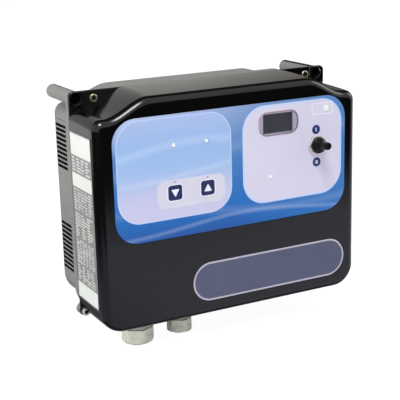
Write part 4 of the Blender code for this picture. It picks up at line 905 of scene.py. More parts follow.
def low_plate(side, inset):
    """The flat plate that squares a lower corner."""
    edge = HALF - LAP - inset
    low = BOTTOM + LOW_PLATE_RISE + inset
    inner = HALF - BOTTOM_RADIUS
    high = BOTTOM + BOTTOM_RADIUS
    radius = PLATE_RADIUS - inset
    points = arc(edge - radius, low + radius, radius, -90, 0)
    points += [(edge, high), (inner, high), (inner, low)]
    return [(side * x, z) for x, z in points]


def flat_corner(outline, front_y, back_y):
    """A corner plate between two depths, with its edges eased."""
    depth = back_y - front_y
    profile = [(EDGE, 0.0), (0.0, EDGE), (0.0, depth - EDGE), (EDGE, depth)]
    return slab(outline, profile), facing(0, 0, back_y)


def cover_corners():
    """The four corner plates of the cover."""
    outlines = [partial(shape, side) for side in (-1, 1) for shape in (top_plate, low_plate)]
    return [flat_corner(outline, PARTING_Y - PLATE_THICKNESS, PARTING_Y - LAP) for outline in outlines]


def bars_along_y(places, radius, front_y, back_y):
    """Round cutters between two depths."""
    bar = prism(circle(radius, steps=32), 0.0, back_y - front_y)
    return [(bar, facing(x, z, back_y)) for x, z in places]


# %% [markdown]
# The front wall has shallow pockets for the film and the name plate, and windows for everything that
# comes through.

# %% Windows of the cover
FILM_RADIUS = 0.023
FILM_POCKET = 0.0008
FILM_MIDDLE = middle("keypad_overlay")
FILM_SIZE = size_of("keypad_overlay")
NAME_MIDDLE = middle("name_plate")
NAME_LENGTH, NAME_HEIGHT = size_of("name_plate")
KEY_SIDE = 0.0138
KEY_RADIUS = 0.0025
WINDOW_FLAT = 0.004
WINDOW_LENGTH, WINDOW_HEIGHT = size_of("display_window")
WINDOW_RADIUS = (WINDOW_HEIGHT - WINDOW_FLAT) / 2
BUSH_RADIUS = 0.0060
LENS_RADIUS = 0.0020
POWER_LENS_RADIUS = 0.0032
LENS_RADII = {name: LENS_RADIUS for name in LAMPS}
LENS_RADII["indicator_power"] = POWER_LENS_RADIUS
THREAD_RADII = {"thick": 0.0112, "thin": 0.0092}


def window_outline(inset, at=(0, 0)):
    """The outline of the display window, shrunk by an inset or grown by a negative one."""
    return rectangle(WINDOW_LENGTH - 2 * inset, WINDOW_HEIGHT - 2 * inset, WINDOW_RADIUS - inset, at)


def window_outlines(slack):
    """The outlines of all that comes through the front wall, each with some slack."""
    found = [window_outline(-slack, DISPLAY)]
    side = KEY_SIDE + 2 * slack
    found += [rectangle(side, side, KEY_RADIUS + slack, at) for at in KEYS.values()]
    found += [circle(LENS_RADII[name] + slack, middle(name)) for name in LAMPS]
    found.append(circle(BUSH_RADIUS + slack, TOGGLE))
    return found


def pocket(size, radius, at):
    """A shallow cutter in the front face."""
    outline = rectangle(size[0] + 2 * GAP, size[1] + 2 * GAP, radius + GAP, at)
    return filled([outline], -FILM_POCKET, COVER_WALL), facing(0, 0)


def gland_axis(size):
    """Where the axis of a gland meets the underside of the cover."""
    low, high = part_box(size + "_gland_washer")
    return Vector(((low.x + high.x) / 2, (low.y + high.y) / 2, BOTTOM))


def gland_holes():
    """Cutters through the underside for the threads of both glands."""
    holes = []
    for size, thread in THREAD_RADII.items():
        hole = prism(circle(thread + GAP), -COVER_WALL, 2 * COVER_WALL)
        holes.append((hole, Matrix.Translation(gland_axis(size))))
    return holes


def make_cover():
    """The whole cover."""
    mesh = combined(cover_skin(0.0, PARTING_Y, 0.0), "UNION", cover_corners())
    plate_front = PARTING_Y - PLATE_THICKNESS
    pad_front = PLATE_THICKNESS + PAD_PROUD
    pad_profile = [(0.0, 0.0), (0.0, pad_front - PAD_EDGE), (PAD_EDGE, pad_front)]
    pads = []
    for side in (-1, 1):
        pads.append((slab(partial(tube_pad, side), pad_profile), facing(0, 0, PARTING_Y - LAP)))
    mesh = combined(mesh, "UNION", pads)
    hollow = cover_skin(COVER_WALL, PARTING_Y + COVER_WALL, CAVITY_CORNER)
    mesh = combined(mesh, "DIFFERENCE", [(hollow, STILL)])
    pockets = [pocket(FILM_SIZE, FILM_RADIUS, FILM_MIDDLE)]
    pockets.append(pocket((NAME_LENGTH, NAME_HEIGHT), NAME_HEIGHT / 2, NAME_MIDDLE))
    mesh = combined(mesh, "DIFFERENCE", pockets)
    cuts = []
    for outline in window_outlines(GAP):
        cuts.append((filled([outline], -2 * COVER_WALL, COVER_WALL), facing(0, 0)))
    cuts += gland_holes()
    front = plate_front - COVER_WALL
    back = PARTING_Y + COVER_WALL
    cuts += bars_along_y(TUBES, PLATE_HOLE_RADIUS, front, back)
    cuts += bars_along_y([middle(name) for name in COVER_SCREWS], SCREW_HOLE, front, back)
    mesh = combined(mesh, "DIFFERENCE", cuts)
    nose = arc(0, SCOOP_LENGTH - SCOOP_RADIUS, SCOOP_RADIUS, 90, 0)
    scoop = turned(nose + [(SCOOP_RADIUS, 0.0), (0.0, 0.0)])
    mesh = combined(mesh, "DIFFERENCE", [(scoop, facing(x, z, plate_front)) for x, z in LOW_SCREWS])
    return piece("cover_shell", mesh, COVER_BLACK, ["front_cover"])


make_cover()

# %% [markdown]
# ## Repeats with Geometry Nodes
# Slots, printed dashes and screws repeat, so Geometry Nodes make them. One tree lays a row of equal
# bars along a step, one lays rows of dashes of uneven length, and one puts a copy of a shape on every
# point of a mesh. All end by making the copies real and giving them a finish, because copies alone
# would be lost when the model is written out. A modifier's input is set by the identifier of its
# socket.


# %% Three small trees
def new_tree(name, inputs):
    """A Geometry Nodes tree with named inputs, the sockets of these inputs and their identifiers."""
    tree = bpy.data.node_groups.new(name, "GeometryNodeTree")
    found = {}
    for label, kind in inputs.items():
        socket = tree.interface.new_socket(name=label, in_out="INPUT", socket_type="NodeSocket" + kind)
        found[label] = socket.identifier
    tree.interface.new_socket(name="Geometry", in_out="OUTPUT", socket_type="NodeSocketGeometry")
    return tree, tree.nodes.new("NodeGroupInput").outputs, found


def geometry(tree, kind, inputs):
    """Adds a geometry node and returns its first output."""
    return node(tree, kind, inputs, "GeometryNode").outputs[0]


def finish_tree(tree, given, points, shape, scale=(1.0, 1.0, 1.0)):
    """Puts a shape on points, makes the copies real and sets their finish."""
    copies = geometry(tree, "InstanceOnPoints", {"Points": points, "Instance": shape, "Scale": scale})
    real = geometry(tree, "RealizeInstances", {0: copies})
    dressed = geometry(tree, "SetMaterial", {"Geometry": real, "Material": given["Finish"]})
    tree.links.new(dressed, tree.nodes.new("NodeGroupOutput").inputs[0])


def line_of_points(tree, count, first, step):
    """Points along a line."""
    return geometry(tree, "MeshLine", {"Count": count, "Start Location": first, "Offset": step})


def bar_tree():
    """A row of equal bars along a step."""
    inputs = {"Count": "Int", "First": "Vector", "Step": "Vector"}
    inputs.update({"Bar Size": "Vector", "Finish": "Material"})
    tree, given, found = new_tree("row_of_bars", inputs)
    points = line_of_points(tree, given["Count"], given["First"], given["Step"])
    finish_tree(tree, given, points, geometry(tree, "MeshCube", {"Size": given["Bar Size"]}))
    return tree, found


def copy_tree():
    """A copy of one shape on every point of a mesh."""
    inputs = {"Points": "Geometry", "Shape": "Object", "Finish": "Material"}
    tree, given, found = new_tree("shape_on_points", inputs)
    shape = node(tree, "ObjectInfo", {"Object": given["Shape"]}, "GeometryNode").outputs["Geometry"]
    finish_tree(tree, given, given["Points"], shape)
    return tree, found


def dash_tree():
    """Rows of dashes whose lengths differ by chance."""
    inputs = {"Rows": "Int", "Columns": "Int", "First": "Vector", "Down": "Vector", "Across": "Vector"}
    inputs.update({"Dash Size": "Vector", "Dash Middle": "Vector", "Seed": "Int", "Finish": "Material"})
    tree, given, found = new_tree("rows_of_dashes", inputs)
    column = line_of_points(tree, given["Rows"], given["First"], given["Down"])
    row = line_of_points(tree, given["Columns"], (0.0, 0.0, 0.0), given["Across"])
    rows = geometry(tree, "InstanceOnPoints", {"Points": column, "Instance": row})
    points = geometry(tree, "RealizeInstances", {0: rows})
    bar = geometry(tree, "MeshCube", {"Size": given["Dash Size"]})
    dash = geometry(tree, "Transform", {"Geometry": bar, "Translation": given["Dash Middle"]})
    lengths = {0: SHORTEST_DASH, 1: LONGEST_DASH, "Seed": given["Seed"]}
    length = node(tree, "RandomValue", lengths, "FunctionNode", data_type="FLOAT_VECTOR").outputs[0]
    finish_tree(tree, given, points, dash, length)
    return tree, found


SHORTEST_DASH = (1.0, 0.35, 1.0)
LONGEST_DASH = (1.0, 1.0, 1.0)
BAR_TREE, BAR_INPUTS = bar_tree()
DASH_TREE, DASH_INPUTS = dash_tree()
COPY_TREE, COPY_INPUTS = copy_tree()


def with_tree(mesh, tree, inputs, values):
    """The plain mesh that a tree makes with the given input values."""
    obj = linked("tree", mesh)
    modifier = obj.modifiers.new("tree", "NODES")
    modifier.node_group = tree
    for label, value in values.items():
        modifier[inputs[label]] = value
    return plain_mesh(obj)


def bar_row(count, first, step, size, finish):
    """A row of bars."""
    values = {"Count": count, "First": first, "Step": step, "Bar Size": size, "Finish": finish}
    return with_tree(bpy.data.meshes.new("bars"), BAR_TREE, BAR_INPUTS, values)


def on_points(points, mesh, finish):
    """A copy of a mesh on every point."""
    places = bpy.data.meshes.new("points")
    places.from_pydata(points, [], [])
    shape = linked("shape", mesh)
    made = with_tree(places, COPY_TREE, COPY_INPUTS, {"Shape": shape, "Finish": finish})
    bpy.data.objects.remove(shape)
    return made


print("trees:", [tree.name for tree in bpy.data.node_groups])

# %% [markdown]
# ## Rear housing
# Behind the parting line the rear shell has a rim as wide as the cover and then a narrower body with
# two groups of vent slots in each side. A fine groove closes off the upper group. Two tubes for the
# wall screws run along its upper corners and end flush with its back, and a round lug behind each lower
# corner takes a cover screw. The slots are rows of bars that are cut away together.

# %% Rear housing
HOUSING_WALL = 0.003
RIM_DEPTH = 0.0095
RIM_BOTTOM_RADIUS = 0.030
BODY_SIDE_IN = 0.008
BODY_TOP_IN = 0.0047
BODY_BOTTOM_IN = 0.0058
BODY_BOTTOM_RADIUS = 0.022
BODY_SHOULDER_DROP = 0.014
BODY_SHOULDER_RADIUS = 0.011
BACK_CHAMFER = 0.002
SEAT_DROP = 0.0045
SEAT_DEPTH = 0.0055
SCREW_BOSS_RADIUS = 0.0042
LUG_RADIUS = 0.005
LUG_REACH = 0.008
LUG_TURN = 45.0
TUBE_RADIUS = 0.00665
TUBE_FLOOR = 0.004
WALL_SCREW_RADIUS = 0.00325
VENT_LOW_COUNT = 11
VENT_HIGH_COUNT = 10
VENT_PITCH = 0.00454
VENT_HEIGHT = 0.0029
VENT_LOW_RISE = 0.03535
VENT_HIGH_DROP = 0.0082
VENT_FRONT_MARGIN = 0.008
VENT_BACK_MARGIN = 0.0025
VENT_GROOVE = 0.0006
SIDEWAYS = 0.5
RIM_BACK_Y = PARTING_Y + RIM_DEPTH
BODY_HALF = HALF - BODY_SIDE_IN


def body_outline(inset):
    """The narrower body behind the rim."""
    margins = (BODY_SIDE_IN, BODY_TOP_IN, BODY_BOTTOM_IN)
    return stepped_outline(inset, margins, BODY_BOTTOM_RADIUS, BODY_SHOULDER_RADIUS, BODY_SHOULDER_DROP)


def rounded_stack(outline, front_y, back_y, front_edge, back_edge, steps=4):
    """A skin between two depths with a round front edge and a round back edge."""
    quarter = arc(0, 0, 1, 0, 90, steps)
    rings = [(front_edge * (1 - s), front_y + front_edge * (1 - c)) for c, s in quarter]
    rings += [(back_edge * (1 - c), back_y - back_edge * (1 - s)) for c, s in quarter]
    return stack([ring_at(outline(inset), y) for inset, y in rings])


def vent_slots():
    """Cutters for both groups of slots in both sides, with the groove above the upper group."""
    high_group = (VENT_HIGH_COUNT - 1) * VENT_PITCH + VENT_HEIGHT
    side_top = TOP - BODY_TOP_IN - BODY_SHOULDER_DROP - BODY_SHOULDER_RADIUS
    high_start = side_top - VENT_HIGH_DROP - high_group
    groups = ((BOTTOM + VENT_LOW_RISE, VENT_LOW_COUNT), (high_start, VENT_HIGH_COUNT))
    front = RIM_BACK_Y + VENT_FRONT_MARGIN
    length = -VENT_BACK_MARGIN - front
    size = (3 * HOUSING_WALL, length, VENT_HEIGHT)
    upwards = (0.0, 0.0, VENT_PITCH)
    cutters = []
    for side in (-1, 1):
        for start, count in groups:
            first = (side * (BODY_HALF - HOUSING_WALL / 2), front + length / 2, start + VENT_HEIGHT / 2)
            cutters.append((bar_row(count, first, upwards, size, HOUSING_GREY), STILL))
        groove_z = high_start + high_group + VENT_PITCH
        groove = (2 * VENT_GROOVE, -2 * front, VENT_GROOVE)
        cutters.append((bar_row(1, (side * BODY_HALF, 0.0, groove_z), upwards, groove, HOUSING_GREY), STILL))
    return cutters


def lug_outline(inset):
    """A screw lug: a capsule that points away from its screw."""
    size = (LUG_REACH + 2 * (LUG_RADIUS - inset), 2 * (LUG_RADIUS - inset))
    return rectangle(*size, LUG_RADIUS - inset, (LUG_REACH / 2, 0))


def housing_corners(front_y, back_y):
    """Seats behind the cover's top plates, and screw lugs behind its lower ones."""
    shapes = []
    for side in (-1, 1):
        seat = partial(top_plate, side, drop=SEAT_DROP)
        shapes.append(flat_corner(seat, front_y, front_y + SEAT_DEPTH))
    depth = back_y - front_y
    lug = slab(lug_outline, [(EDGE, 0.0), (0.0, EDGE), (0.0, depth)])
    for x, z in LOW_SCREWS:
        inwards = Matrix.Rotation(math.radians(LUG_TURN if x < 0 else 180 - LUG_TURN), 4, "Z")
        shapes.append((lug, facing(x, z, back_y) @ inwards))
    return shapes


def make_housing():
    """The whole rear shell."""
    rim_front = PARTING_Y + GAP
    rim = partial(casing_outline, corner=RIM_BOTTOM_RADIUS)
    mesh = rounded_stack(rim, rim_front, RIM_BACK_Y, EDGE, 2 * EDGE)
    mesh = combined(mesh, "UNION", housing_corners(rim_front + LAP, RIM_BACK_Y - LAP))
    body = rounded_stack(body_outline, RIM_BACK_Y - HOUSING_WALL, 0.0, EDGE, BACK_CHAMFER)
    mesh = combined(mesh, "UNION", [(body, STILL)])
    profile = [(2 * EDGE, 0.0), (EDGE / 2, EDGE / 2), (0.0, 2 * EDGE), (0.0, -rim_front - 2 * LAP)]
    tube = slab(lambda inset: circle(TUBE_RADIUS - inset), profile)
    tubes = [(tube, facing(x, z, 0.0)) for x, z in TUBES]
    top_screws = [middle(name) for name in COVER_SCREWS[:2]]
    tubes += bars_along_y(top_screws, SCREW_BOSS_RADIUS, rim_front + 2 * LAP, RIM_BACK_Y)
    mesh = combined(mesh, "UNION", tubes)
    inside = body_outline(HOUSING_WALL)
    front = PARTING_Y - HOUSING_WALL
    hollow = stack([ring_at(inside, front), ring_at(inside, -HOUSING_WALL)])
    mesh = combined(mesh, "DIFFERENCE", [(hollow, STILL)])
    bores = bars_along_y(TUBES, TUBE_BORE_RADIUS, front, -TUBE_FLOOR)
    screw_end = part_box("cover_screw_top_left")[1].y + GAP
    bores += bars_along_y([middle(name) for name in COVER_SCREWS], SCREW_HOLE, front, screw_end)
    mouths = bars_along_y(TUBES, PLATE_HOLE_RADIUS, front, rim_front + 2 * EDGE)
    wall_holes = bars_along_y(TUBES, WALL_SCREW_RADIUS, -2 * TUBE_FLOOR, TUBE_FLOOR)
    for cuts in (bores, mouths, wall_holes, vent_slots()):
        mesh = combined(mesh, "DIFFERENCE", cuts)
    return piece("housing_shell", mesh, HOUSING_GREY, ["rear_housing"])


def in_tube(face):
    """Whether a face lies in the bore of a wall tube."""
    away = min(math.hypot(face.center.x - x, face.center.z - z) for x, z in TUBES)
    return away < PLATE_HOLE_RADIUS + LAP and face.center.y < -LAP


def in_slot(face):
    """Whether a face is a wall of a vent slot."""
    across = abs(face.center.x)
    in_wall = BODY_HALF - HOUSING_WALL < across < BODY_HALF
    return in_wall and abs(face.normal.x) < SIDEWAYS and face.center.y < -BACK_CHAMFER - LAP


def shade_faces(mesh, finish, chosen):
    """Paints shade on the faces that a test chooses: they get a second, dark finish."""
    mesh.materials.append(finish)
    for face in mesh.polygons:
        face.material_index = int(chosen(face))
    print("shaded faces:", sum(face.material_index for face in mesh.polygons))


housing = make_housing()
# Painted shade on the tube bores and the vent slot walls.
shade_faces(housing.data, PAINTED_RECESS_SHADE, lambda face: in_tube(face) or in_slot(face))

# %% [markdown]
# ## Printed film
# The film is a thin sheet with windows. Its print is a set of even thinner plates on top of it: a blue
# panel on the left, a pale one on the right, a key panel, light outlines and a few small signs. Plates
# keep their edges sharp from close by, which a painted texture would not.

# %% Film and print
PRINT = 0.00004
FILM_BACK, FILM_FRONT = depths("keypad_overlay")
PANEL_RADIUS = 0.022
KEY_PANEL_RADIUS = 0.008
OUTLINE = 0.0009


def on_film(left, low, right, high):
    """Two corners of a box, measured from the lower left corner of the film."""
    return (FILM_LOW.x + left, FILM_LOW.z + low), (FILM_LOW.x + right, FILM_LOW.z + high)


LEFT_PANEL = on_film(0.0039, 0.0188, 0.1200, 0.1129)
RIGHT_PANEL = on_film(0.1348, 0.0200, 0.2439, 0.1117)
KEY_PANEL = on_film(0.0426, 0.0281, 0.1132, 0.0548)
LAMP_FRAME = on_film(0.2116, 0.0985, 0.2346, 0.1085)


def grown(box, by):
    """A box, given by two corners, made larger on all sides."""
    return (box[0][0] - by, box[0][1] - by), (box[1][0] + by, box[1][1] + by)


def print_plate(name, outlines, layer, material):
    """A thin printed plate on one layer of the film."""
    low = FILM_FRONT + (layer - 1) * PRINT + PRINT / 4
    mesh = placed(filled(outlines, low, low + PRINT), facing(0, 0))
    return piece(name, mesh, material)


def windows_in(box):
    """The windows whose middle lies inside a box."""
    inside = []
    for outline in window_outlines(GAP):
        x, z = (sum(values) / len(outline) for values in zip(*outline))
        if box[0][0] < x < box[1][0] and box[0][1] < z < box[1][1]:
            inside.append(outline)
    return inside


def print_panel(name, box, radius, layer, material):
    """A printed panel with holes for the windows that lie in it."""
    return print_plate(name, [between(*box, radius)] + windows_in(box), layer, material)


def panel_outline(name, box, radius, width, layer, material):
    """A printed line round a panel."""
    outer = between(*grown(box, width), radius + width)
    return print_plate(name, [outer, between(*box, radius)], layer, material)


film_outlines = [rectangle(*FILM_SIZE, FILM_RADIUS, FILM_MIDDLE)] + window_outlines(GAP)
film_sheet = placed(filled(film_outlines, FILM_BACK, FILM_FRONT), facing(0, 0))
piece("front_film", film_sheet, FILM_BLUE, ["keypad_overlay"])
print_panel("left_panel_print", LEFT_PANEL, PANEL_RADIUS, 1, PANEL_BLUE)
panel_outline("left_panel_line", LEFT_PANEL, PANEL_RADIUS, OUTLINE, 1, PRINT_SKY)
print_panel("right_panel_print", RIGHT_PANEL, PANEL_RADIUS, 1, PRINT_LILAC)
panel_outline("right_panel_line", RIGHT_PANEL, PANEL_RADIUS, 2 * OUTLINE, 1, PRINT_SKY)
print_panel("key_panel_print", KEY_PANEL, KEY_PANEL_RADIUS, 2, PRINT_PALE)

# %% [markdown]
# Small signs come last: a white frame round each key, a dot above it, a light field and a white ring
# round the power lamp and the sensor lamp, a thin rose line round the display, and two navy discs with
# the usual 1 and 0 of a switch, drawn as a bold stroke and an oval.

# %% Small signs
DISC_RADIUS = 0.0046
DISCS = {"one": (TOGGLE[0] - 0.0001, TOGGLE[1] + 0.0149), "zero": (TOGGLE[0] + 0.0006, TOGGLE[1] - 0.0176)}
DIGIT_HEIGHT = 0.0036
DIGIT_STROKE = 0.0009
ZERO_WIDTH = 0.0030
FLAG = 0.0006
KEY_FRAME = 0.0009
DOT_RADIUS = 0.0007
DOT_RISE = 0.0103
FIELD_RADIUS = 0.001
FIELD_LINE = 0.0007
POWER_RING = 0.0042
SENSOR_FIELD = 0.0115
SENSOR_RING = 0.0030
DISPLAY_LINE = 0.0011


def key_frame(at):
    """The outer and the inner line of a white frame round a key."""
    inner = KEY_SIDE + 2 * GAP
    outer = inner + 2 * KEY_FRAME
    return [rectangle(outer, outer, KEY_RADIUS + KEY_FRAME, at), rectangle(inner, inner, KEY_RADIUS, at)]


def round_lamp(name, lamp, outline, layer, material):
    """A printed plate with a hole for a lamp."""
    hole = circle(LENS_RADII[lamp] + GAP, middle(lamp))
    return print_plate(name, [outline, hole], layer, material)


def digit_one(at):
    """A bold 1 with a small flag."""
    right = at[0] + DIGIT_STROKE / 2
    left = at[0] - DIGIT_STROKE / 2
    top = at[1] + DIGIT_HEIGHT / 2
    foot = at[1] - DIGIT_HEIGHT / 2
    stem = [(left, foot), (right, foot), (right, top), (left, top)]
    return [stem + [(left - FLAG, top - FLAG), (left, top - FLAG)]]


def digit_zero(at):
    """A bold 0."""
    inner = (ZERO_WIDTH - 2 * DIGIT_STROKE, DIGIT_HEIGHT - 2 * DIGIT_STROKE)
    outer_ring = rectangle(ZERO_WIDTH, DIGIT_HEIGHT, ZERO_WIDTH / 2, at)
    return [outer_ring, rectangle(*inner, inner[0] / 2, at)]


for name, at in KEYS.items():
    print_plate(f"key_{name}_frame", key_frame(at), 3, PRINT_WHITE)
    print_plate(f"key_{name}_dot", [circle(DOT_RADIUS, (at[0], at[1] + DOT_RISE), steps=20)], 3, PRINT_INK)
power = middle("indicator_power")
round_lamp("power_field", "indicator_power", between(*LAMP_FRAME, FIELD_RADIUS), 2, PRINT_PALE)
panel_outline("power_field_line", LAMP_FRAME, FIELD_RADIUS, FIELD_LINE, 2, PRINT_WHITE)
round_lamp("power_ring", "indicator_power", circle(POWER_RING, power), 3, PRINT_WHITE)
sensor = middle("indicator_sensor")
sensor_field = rectangle(SENSOR_FIELD, SENSOR_FIELD, FIELD_RADIUS, sensor)
round_lamp("sensor_field", "indicator_sensor", sensor_field, 2, PRINT_PALE)
round_lamp("sensor_ring", "indicator_sensor", circle(SENSOR_RING, sensor), 3, PRINT_WHITE)
display_line = [window_outline(-growth, DISPLAY) for growth in (DISPLAY_LINE, GAP)]
print_plate("display_line", display_line, 2, PRINT_ROSE)
for name, digit in (("one", digit_one), ("zero", digit_zero)):
    print_plate(f"disc_{name}", [circle(DISC_RADIUS, DISCS[name])], 2, PRINT_NAVY)
    print_plate(f"digit_{name}", digit(DISCS[name]), 3, PRINT_WHITE)

# %% [markdown]
# ## Name plate and side label
# The capsule plate below the film is slate with a pale rim. The label on the left side is grey foil
# with white fields and rows of pale dashes. Neither carries words. The dashes come from a tree, with a
# fixed seed for their lengths.

# %% Name plate
NAME_RIM = 0.0019
NAME_EDGE = 0.00025


def capsule(inset):
    """The outline of the name plate."""
    size = (NAME_LENGTH - 2 * inset, NAME_HEIGHT - 2 * inset)
    return rectangle(*size, size[1] / 2, NAME_MIDDLE, steps=24)


name_back, name_front = depths("name_plate")
name_profile = [(0.0, name_back), (0.0, name_front - NAME_EDGE), (NAME_EDGE, name_front)]
name_mesh = placed(slab(capsule, name_profile), facing(0, 0))
piece("blank_name_plate", name_mesh, PLATE_SLATE, ["name_plate"])
rim_outlines = [capsule(NAME_EDGE), capsule(NAME_RIM)]
rim_mesh = placed(filled(rim_outlines, name_front + PRINT / 4, name_front + PRINT), facing(0, 0))
piece("name_plate_rim", rim_mesh, PLATE_RIM)

# %% [markdown]
# The label is drawn flat and then turned to look to the left. A field is written by its top, its foot
# and its margin, and a block of dashes by its rows, its top, its step down, its columns, the thickness
# of a dash and its seed. All but the thickness and the counts are shares of the label's height or
# width.

# %% Side label
LABEL_LOW, LABEL_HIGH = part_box("rating_label")
LABEL_THICKNESS, LABEL_WIDTH, LABEL_HEIGHT = LABEL_HIGH - LABEL_LOW
LABEL_RADIUS = 0.0012
LABEL_EDGE = 0.0001
LABEL_FIELD_RADIUS = 0.0006
LABEL_MARGIN = 0.06
DASH_SHARE = 0.96
LABEL_FIELDS = {"head": (0.008, 0.132, 0.02), "band": (0.238, 0.318, 0.03), "foot": (0.900, 0.993, 0.02)}
LABEL_ROWS = {
    "top": (5, 0.150, 0.0175, 4, 0.0015, 3),
    "upper": (8, 0.335, 0.0165, 5, 0.0013, 5),
    "middle": (9, 0.480, 0.0165, 3, 0.0013, 8),
    "low": (9, 0.640, 0.0165, 6, 0.0014, 13),
    "foot": (6, 0.798, 0.0165, 4, 0.0013, 21),
}
LEFTWARDS = Matrix(((0, 0, -1, LABEL_LOW.x), (-1, 0, 0, 0), (0, 1, 0, 0), (0, 0, 0, 1)))


def on_label(share, across):
    """A point of the label: its share of the height from the top, and of the width from the back."""
    return across * LABEL_WIDTH - LABEL_HIGH.y, LABEL_HIGH.z - share * LABEL_HEIGHT


def label_field(name, top, bottom, margin):
    """A printed field on the label, between shares of its height."""
    outline = between(on_label(bottom, margin), on_label(top, 1 - margin), LABEL_FIELD_RADIUS)
    mesh = placed(filled([outline], PRINT / 4, PRINT), LEFTWARDS)
    return piece("label_" + name, mesh, LABEL_WHITE)


def label_rows(name, rows, top, step, columns, thick, seed):
    """Rows of printed dashes on the label, of uneven length."""
    pitch = (1 - 2 * LABEL_MARGIN) / columns
    y = LABEL_HIGH.y - LABEL_MARGIN * LABEL_WIDTH
    length = pitch * LABEL_WIDTH * DASH_SHARE
    values = {"Rows": rows, "Columns": columns, "Seed": seed, "Finish": LABEL_LIGHT}
    values["First"] = (LABEL_LOW.x - PRINT / 2, y, LABEL_HIGH.z - top * LABEL_HEIGHT)
    values["Down"] = (0.0, 0.0, -step * LABEL_HEIGHT)
    values["Across"] = (0.0, -pitch * LABEL_WIDTH, 0.0)
    values["Dash Size"] = (PRINT, length, thick)
    values["Dash Middle"] = (0.0, -length / 2, 0.0)
    mesh = with_tree(bpy.data.meshes.new("dashes"), DASH_TREE, DASH_INPUTS, values)
    return piece("label_rows_" + name, mesh, LABEL_LIGHT)


def label_face(inset):
    """The outline of the label seen from the left."""
    low = (-LABEL_HIGH.y + inset, LABEL_LOW.z + inset)
    high = (-LABEL_LOW.y - inset, LABEL_HIGH.z - inset)
    return between(low, high, LABEL_RADIUS)


label_profile = [(0.0, -LABEL_THICKNESS), (0.0, -LABEL_EDGE), (LABEL_EDGE, 0.0)]
label_mesh = placed(slab(label_face, label_profile), LEFTWARDS)
piece("blank_label", label_mesh, LABEL_SILVER, ["rating_label"])
for name, field in LABEL_FIELDS.items():
    label_field(name, *field)
for name, block in LABEL_ROWS.items():
    label_rows(name, *block)

# %% [markdown]
# ## Keys
# Each key is a square cap with a soft edge, a wider lip behind the wall that stops it from falling out,
# and a post that presses a small switch. The arrow on it is a thin white plate that moves with the key.

# %% Keys
KEY_PROUD = 0.0005
KEY_LIP = 0.0015
KEY_LIP_FRONT = -0.0033
KEY_LIP_BACK = -0.0045
KEY_POST_RADIUS = 0.002
KEY_SHARP = 0.0004
KEY_EDGE_STEPS = 4
ARROW = 0.0084
ARROW_ROUND = 0.0005
ARROW_DROP = 0.00084


def key_outline(inset):
    """A key's outline, shrunk by an inset or grown by a negative one."""
    side = KEY_SIDE - 2 * inset
    return rectangle(side, side, max(KEY_RADIUS - inset, KEY_SHARP))


def arrow_outline(upwards):
    """A triangle with slightly rounded corners."""
    points = soft_polygon(3, ARROW / math.sqrt(3), ARROW_ROUND, 90, 6)
    sign = 1 if upwards else -1
    return [(sign * x, sign * (y - ARROW_DROP)) for x, y in points]


def make_key(name, at):
    """One key with its arrow."""
    node_name = "key_" + name
    profile = [(-KEY_LIP, KEY_LIP_BACK), (-KEY_LIP, KEY_LIP_FRONT), (0.0, KEY_LIP_FRONT)]
    for across, out in arc(0, 0, EDGE, 0, 90, KEY_EDGE_STEPS):
        profile.append((EDGE - across, KEY_PROUD - EDGE + out))
    cap = slab(key_outline, profile)
    post = prism(circle(KEY_POST_RADIUS), depths(node_name)[0], KEY_LIP_BACK + LAP)
    mesh = placed(combined(cap, "UNION", [(post, STILL)]), facing(*at))
    piece(node_name + "_cap", mesh, KEY_NAVY, [node_name], node_name)
    arrow = filled([arrow_outline(name == "up")], KEY_PROUD + PRINT / 4, KEY_PROUD + PRINT)
    piece(node_name + "_arrow", placed(arrow, facing(*at)), PRINT_WHITE, (), node_name)


for key_name, key_at in KEYS.items():
    make_key(key_name, key_at)

# %% [markdown]
# ## Display
# A clear window closes the hole, a grey frame lies behind it, and a dark block with three unlit digits
# shows in the middle. The seven strokes of a digit are the same bar laid flat or upright.

# %% Display
SCREEN_LENGTH, SCREEN_HEIGHT = size_of("display_module")
SCREEN_BACK, SCREEN_FRONT = depths("display_module")
BEZEL_BACK, BEZEL_FRONT = depths("display_bezel")
WINDOW_BACK = depths("display_window")[0]
WINDOW_EDGE = 0.0003
STROKE = 0.0042
STROKE_WIDTH = 0.0010
STROKE_GAP = 0.0003
DIGIT_PITCH = 0.0098


def screen_outline(inset):
    """The outline of the digit block, shrunk by an inset or grown by a negative one."""
    return rectangle(SCREEN_LENGTH - 2 * inset, SCREEN_HEIGHT - 2 * inset, GAP)


def stroke(x, y, upright):
    """One stroke of a digit, pointed at both ends."""
    half = STROKE / 2
    tip = STROKE_WIDTH / 2
    points = [(-half, 0), (-half + tip, -tip), (half - tip, -tip)]
    points += [(half, 0), (half - tip, tip), (-half + tip, tip)]
    return [(x - v, y + u) if upright else (x + u, y + v) for u, v in points]


def digit_strokes(middle_x):
    """The seven strokes of one digit."""
    reach = STROKE + STROKE_GAP
    found = [stroke(middle_x, up * reach, False) for up in (-1, 0, 1)]
    for side in (-1, 1):
        found += [stroke(middle_x + side * reach / 2, up * reach / 2, True) for up in (-1, 1)]
    return found


